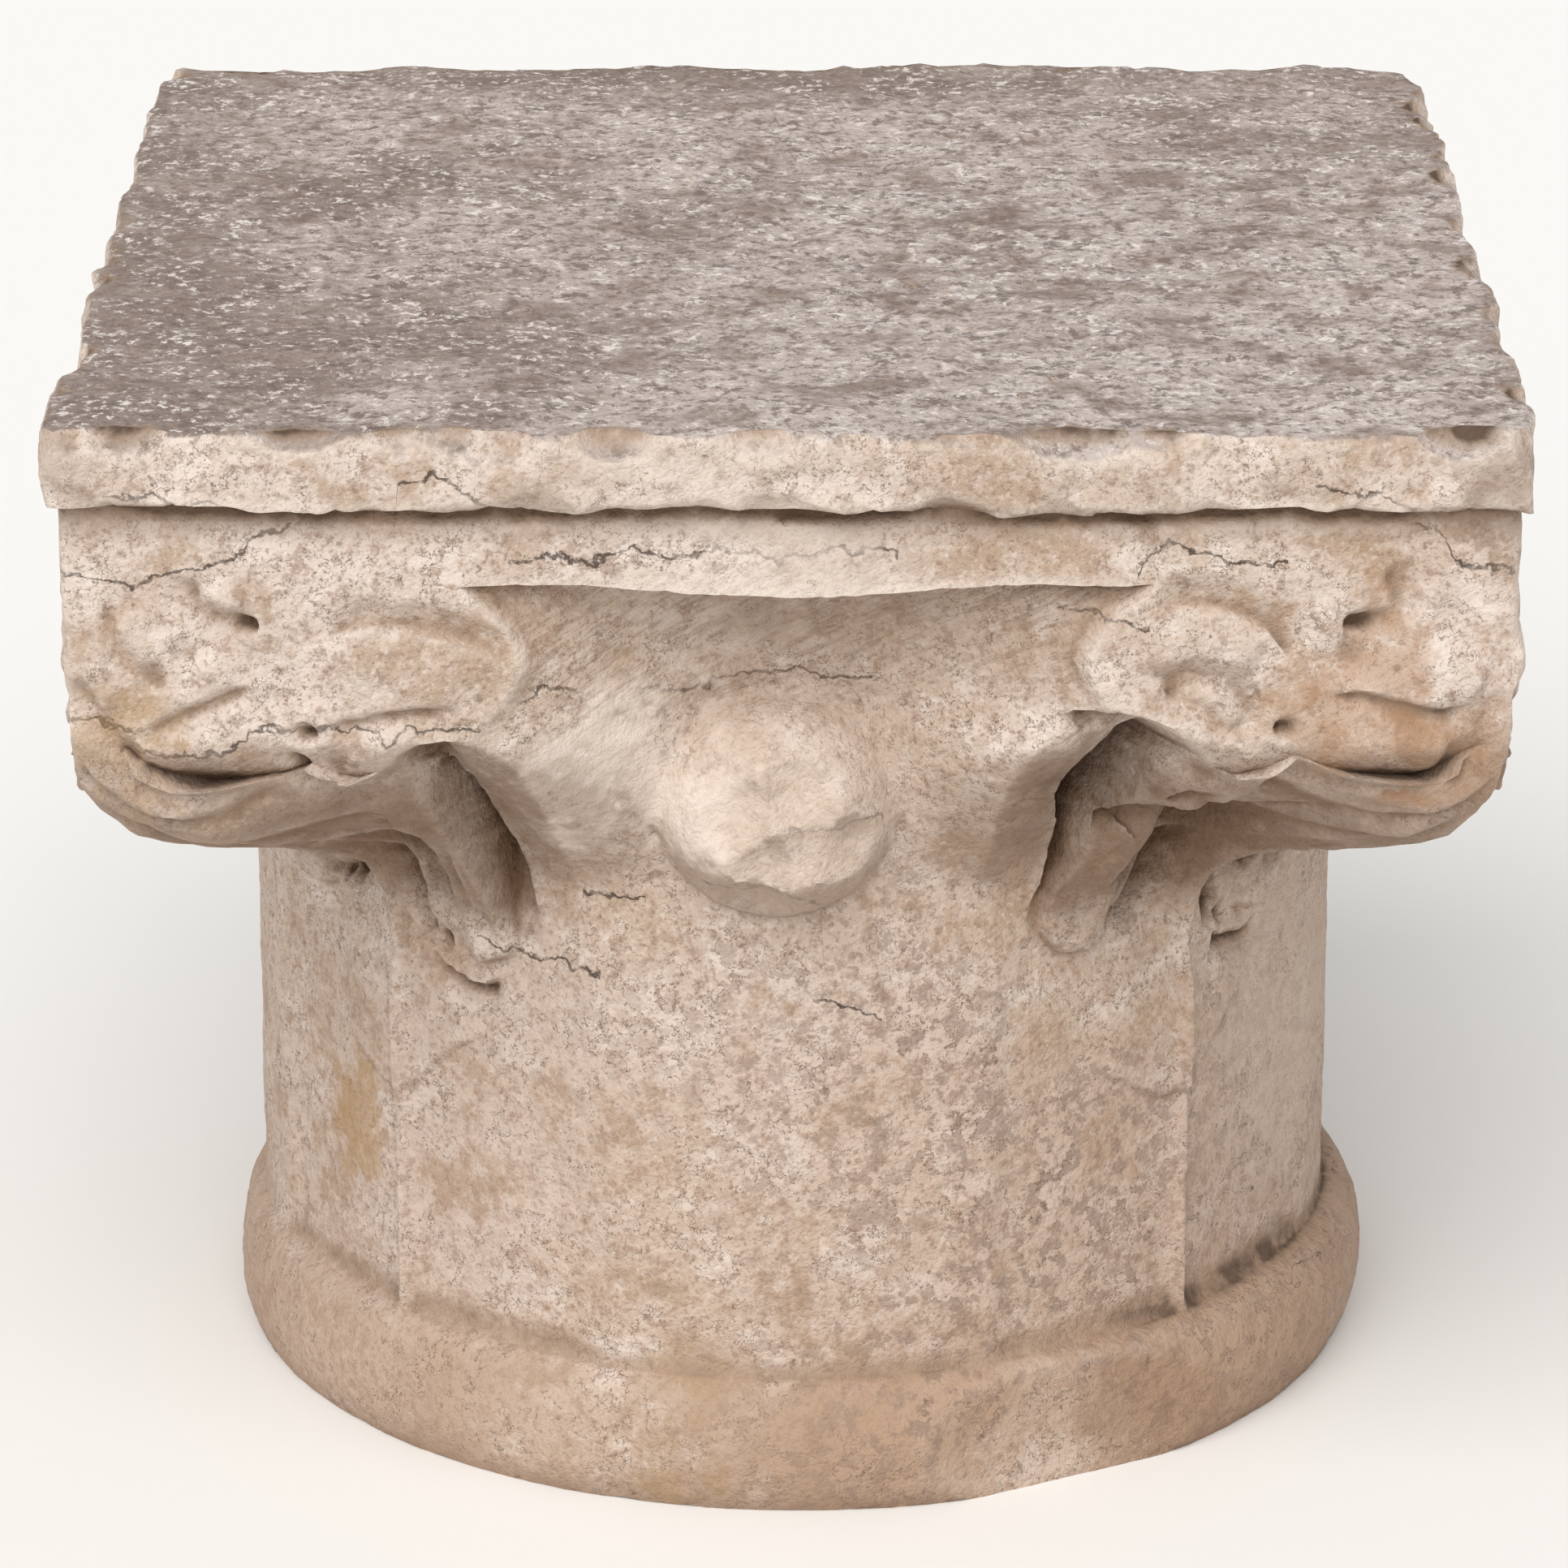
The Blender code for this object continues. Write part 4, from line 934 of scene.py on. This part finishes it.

# %% Grime on the top; dirt and painted shade in the folds, recesses and undersides; rubbed crests with a painted highlight
top = times(ramp(faces_up, 0.5, 0.9), ramp(at_z, 0.400, 0.412))
grey = mixed(ramp(noise(95, 4, 0.72), 0.38, 0.62), "8F7F77", "C2B4AD")
pale_middle = times(ramp(at_x, -0.14, 0.06), ramp(at_y, 0.2, 0.06))
grey = mixed(times(pale_middle, ramp(mottle, 0.36, 0.6, 0.0, 0.75)), grey, "C9BDB7")
grey = mixed(ramp(mottle, 0.47, 0.34, 0.0, 0.7), grey, "80716A")
grey = mixed(ramp(speckle, 0.5, 0.62, 0.0, 0.75), grey, "6E5F58")
far_edges = sums("MAXIMUM", ramp(at_x, -0.17, -0.24), ramp(at_y, 0.17, 0.25))
grey = mixed(times(far_edges, ramp(mottle, 0.35, 0.6, 0.25, 0.75)), grey, "84746B")
grit = noise(4, 3, 0.7)
grey = mixed(times(ramp(grit, 0.54, 0.62), ramp(mottle, 0.4, 0.56, 0.15, 1.0)), grey, "E2DAD4")
grey = mixed(ramp(grit, 0.44, 0.36, 0.0, 0.6), grey, "6A5C56")
colour = mixed(times(top, ramp(mottle, 0.3, 0.55, 0.8, 0.97)), body, grey)
patchy = ramp(noise(15, 3, 0.65), 0.3, 0.62, 0.6, 1.25)
# dirt and painted shade in the hollows: brown, darkest in the deepest folds, where shade falls
dirt_and_hollow_shade = times(field("hollow"), patchy, clamp=True)
colour = mixed(ramp(dirt_and_hollow_shade, 0.05, 0.5, 0.0, 0.7), colour, "9A806A")
colour = mixed(ramp(dirt_and_hollow_shade, 0.4, 1.0, 0.0, 0.9), colour, "4C3929")
# the recess under the band and the strip inside each arch: brown crust with painted shade, where the surface
# faces down and away from the light
sheltered_crust_and_shade = times(field("shelter"), patchy, clamp=True)
colour = mixed(times(sheltered_crust_and_shade, 0.34), colour, "957A62")
# painted shade inside the arches below the lip, a deep brown where the arch's hollow lies in shadow
arch_shade = times(sheltered_crust_and_shade, ramp(at_z, 0.31, 0.285))
colour = mixed(times(arch_shade, 0.55), colour, "66482F")
# the leaves' undersides: painted shade with some dirt, dark brown
below = times(field("under"), patchy, clamp=True)
colour = mixed(times(below, 0.82), colour, "70533A")
# painted shade on every face that looks down
downward_shade = times(ramp(faces_up, -0.05, -0.6), patchy, clamp=True)
colour = mixed(times(downward_shade, 0.5), colour, "846A55")
# painted shade, with some dirt, on the band just under the slab's overhang
under_slab_shade_and_dirt = times(ramp(at_z, 0.376, 0.389), ramp(at_z, 0.3935, 0.3905))
colour = mixed(times(times(under_slab_shade_and_dirt, patchy, clamp=True), 0.6), colour, "7D6450")
# painted highlight on the crests above the lip, with pale rubbing
rubbed_and_highlight = times(field("crest"), ramp(at_z, 0.290, 0.315, 0.3, 1.0))
colour = mixed(times(rubbed_and_highlight, ramp(speckle, 0.35, 0.6, 0.15, 0.6)), colour, "EADDD1")

# %% Relief too fine for the mesh: grain, pits, comb marks and chisel marks, with heights in millimetres
turned = add(tree, "ShaderNodeVectorRotate", {"Vector": here, "Axis": (0, 1, 0), "Angle": 0.5},
             rotation_type="AXIS_ANGLE").outputs[0]
combed = add(tree, "ShaderNodeVectorMath", {0: turned, 1: (0.13, 0.13, 1.0)}, operation="MULTIPLY").outputs[0]
comb = noise(2.2, 2, 0.6, combed)
comb_share = sums("ADD", times(field("shelter"), 0.9), 0.25)
height = sums("ADD", times(tiny, 0.5), times(speckle, 2.0))
height = sums("ADD", height, times(times(comb, comb_share), 1.3))
bump = add(tree, "ShaderNodeBump", {"Height": height, "Strength": 1.0, "Distance": 1.0 * MM})
colour = mixed(times(ramp(comb, 0.5, 0.62), times(comb_share, 0.35)), colour, "8B7361")
roughness = ramp(speckle, 0.3, 0.7, 0.75, 0.92)
surface = {"Base Color": colour, "Roughness": roughness, "Metallic": 0.0, "IOR": 1.5,
           "Normal": bump.outputs[0]}
shader = add(tree, "ShaderNodeBsdfPrincipled", surface)
add(tree, "ShaderNodeOutputMaterial", {"Surface": shader.outputs[0]})
print("the marble's material has", len(tree.nodes), "nodes")

# %% [markdown]
# ## Weather
# Rain and frost roughen the whole surface, most of all the top. A Geometry Nodes tree does this after the
# carving: it pushes each point along its normal by two sizes of noise and sinks small pits. Its inputs are
# named sizes, so the same stone can be made fresh or worn.

# %% The weathering tree
weather = bpy.data.node_groups.new("weather", "GeometryNodeTree")
weather.interface.new_socket("Stone", in_out="INPUT", socket_type="NodeSocketGeometry")
sizes = {"Lump Depth": 2.4 * MM, "Lump Size": 24 * MM, "Grain Depth": 1.3 * MM, "Grain Size": 6 * MM,
         "Pit Depth": 1.6 * MM, "Pit Size": 9 * MM, "Top Share": 1.0, "Side Share": 0.8}
for name in sizes:
    weather.interface.new_socket(name, in_out="INPUT", socket_type="NodeSocketFloat")
weather.interface.new_socket("Finish", in_out="INPUT", socket_type="NodeSocketMaterial")
weather.interface.new_socket("Stone", in_out="OUTPUT", socket_type="NodeSocketGeometry")
given = add(weather, "NodeGroupInput").outputs


def maths(operation, a, b=0.0):
    """One sum in the weathering tree."""
    return add(weather, "ShaderNodeMath", {0: a, 1: b}, operation=operation).outputs[0]


place = add(weather, "GeometryNodeInputPosition").outputs[0]
per_lump = maths("DIVIDE", 1, given["Lump Size"])
per_grain = maths("DIVIDE", 1, given["Grain Size"])
per_pit = maths("DIVIDE", 1, given["Pit Size"])
lump = add(weather, "ShaderNodeTexNoise", {"Vector": place, "Scale": per_lump})
gritty = add(weather, "ShaderNodeTexNoise", {"Vector": place, "Scale": per_grain})
cells = add(weather, "ShaderNodeTexVoronoi", {"Vector": place, "Scale": per_pit})
pits = maths("MAXIMUM", maths("SUBTRACT", 0.35, cells.outputs["Distance"]))
pits = maths("MULTIPLY", pits, maths("GREATER_THAN", lump.outputs["Fac"], 0.52))
push = maths("MULTIPLY", maths("SUBTRACT", lump.outputs["Fac"], 0.5), given["Lump Depth"])
grain = maths("MULTIPLY", maths("SUBTRACT", gritty.outputs["Fac"], 0.5), given["Grain Depth"])
push = maths("ADD", push, grain)
push = maths("SUBTRACT", push, maths("MULTIPLY", maths("MULTIPLY", pits, 3), given["Pit Depth"]))
normal = add(weather, "GeometryNodeInputNormal").outputs[0]
upward = add(weather, "ShaderNodeSeparateXYZ", {"Vector": normal}).outputs[2]
is_top = maths("GREATER_THAN", upward, 0.8)
share = add(weather, "ShaderNodeMix", {0: is_top, 2: given["Side Share"], 3: given["Top Share"]}).outputs[0]
pushed = maths("MULTIPLY", push, share)
offset = add(weather, "ShaderNodeVectorMath", {0: normal, "Scale": pushed}, operation="SCALE")
moved = add(weather, "GeometryNodeSetPosition", {"Geometry": given["Stone"], "Offset": offset.outputs[0]})
real = add(weather, "GeometryNodeRealizeInstances", {"Geometry": moved.outputs[0]})
finished = add(weather, "GeometryNodeSetMaterial", {"Geometry": real.outputs[0], "Material": given["Finish"]})
add(weather, "NodeGroupOutput", {"Stone": finished.outputs[0]})
print("weathering tree with", len(weather.nodes), "nodes")

# %% Weather the stone, thin its mesh and keep it as a plain piece
TRIANGLES = 190000


def dressed_mesh(skin):
    """The skin with the weathering applied, thinned where it is smooth."""
    obj = bpy.data.objects.new("marble_capital_stone", skin)
    bpy.context.scene.collection.objects.link(obj)
    nodes = obj.modifiers.new("Weather", "NODES")
    nodes.node_group = weather
    for item in weather.interface.items_tree:
        if item.in_out == "INPUT" and item.name in sizes:
            nodes[item.identifier] = float(sizes[item.name])
        elif item.in_out == "INPUT" and item.name == "Finish":
            nodes[item.identifier] = marble
    skin.calc_loop_triangles()
    thin = obj.modifiers.new("Thin", "DECIMATE")
    thin.ratio = min(1, TRIANGLES / len(skin.loop_triangles))
    thin.use_collapse_triangulate = True
    graph = bpy.context.evaluated_depsgraph_get()
    result = bpy.data.meshes.new_from_object(obj.evaluated_get(graph), depsgraph=graph)
    obj.modifiers.clear()
    obj.data = result
    return obj


stone = dressed_mesh(block)
stone.data.materials.clear()
stone.data.materials.append(marble)
for vertex in stone.data.vertices:
    vertex.co.z = min(max(vertex.co.z, 0), HEIGHT)
stone.data.shade_smooth()
stone.data.set_sharp_from_angle(angle=np.radians(50))
print("stone of", len(stone.data.polygons), "triangles")

# %% Put it in the frame
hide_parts("marble_capital")
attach(stone, "root")

# %% [markdown]
# ## Floor, light and camera
# A plain pale floor and soft light, as for a dealer's photograph. A sun lamp with a very wide disk stands
# for a large silk above, in front and a little to the left: its light is soft, and it falls as strongly on
# the floor behind the stone as on the floor in front. The white world is the light that a white room gives
# back.

# %% Floor
floor_mesh = bpy.data.meshes.new("studio_floor")
floor_mesh.from_pydata([(-6, -6, 0), (6, -6, 0), (6, 6, 0), (-6, 6, 0)], [], [(0, 1, 2, 3)])
floor = bpy.data.objects.new("studio_floor", floor_mesh)
bpy.context.scene.collection.objects.link(floor)
paper = bpy.data.materials.new("pale_paper_sweep")
paper.use_nodes = True
paper_shader = paper.node_tree.nodes["Principled BSDF"]
paper_shader.inputs["Base Color"].default_value = linear("F6F5F3")
paper_shader.inputs["Roughness"].default_value = 0.9
floor_mesh.materials.append(paper)

# %% Light
world = bpy.data.worlds.new("studio_white")
world.use_nodes = True
world.node_tree.nodes["Background"].inputs["Color"].default_value = (1, 1, 1, 1)
world.node_tree.nodes["Background"].inputs["Strength"].default_value = 0.5
bpy.context.scene.world = world
silk = bpy.data.lights.new("overhead_silk", "SUN")
silk.energy = 2.35
silk.angle = np.radians(56)
silk.color = (1.0, 0.985, 0.96)
overhead = bpy.data.objects.new("overhead_silk", silk)
bpy.context.scene.collection.objects.link(overhead)
overhead.location = (-0.4, -1.55, 2.0)
overhead.rotation_euler = (Vector((0, 0, 0.2)) - overhead.location).to_track_quat("-Z", "Y").to_euler()
print("light from", [round(v, 2) for v in overhead.location])

# %% Camera at the photograph's place
DISTANCE = 2.697
RAISED = np.radians(19.9)
AIM = Vector((-0.0021, -0.002, 0.2033))
eye = bpy.data.cameras.new("camera")
eye.sensor_width = 36
eye.lens = 163.3
camera = bpy.data.objects.new("camera", eye)
bpy.context.scene.collection.objects.link(camera)
camera.location = AIM + DISTANCE * Vector((0, -np.cos(RAISED), np.sin(RAISED)))
camera.rotation_euler = (AIM - camera.location).to_track_quat("-Z", "Y").to_euler()
bpy.context.scene.camera = camera
bpy.context.scene.view_settings.view_transform = "Standard"
print("camera at", [round(v, 3) for v in camera.location])
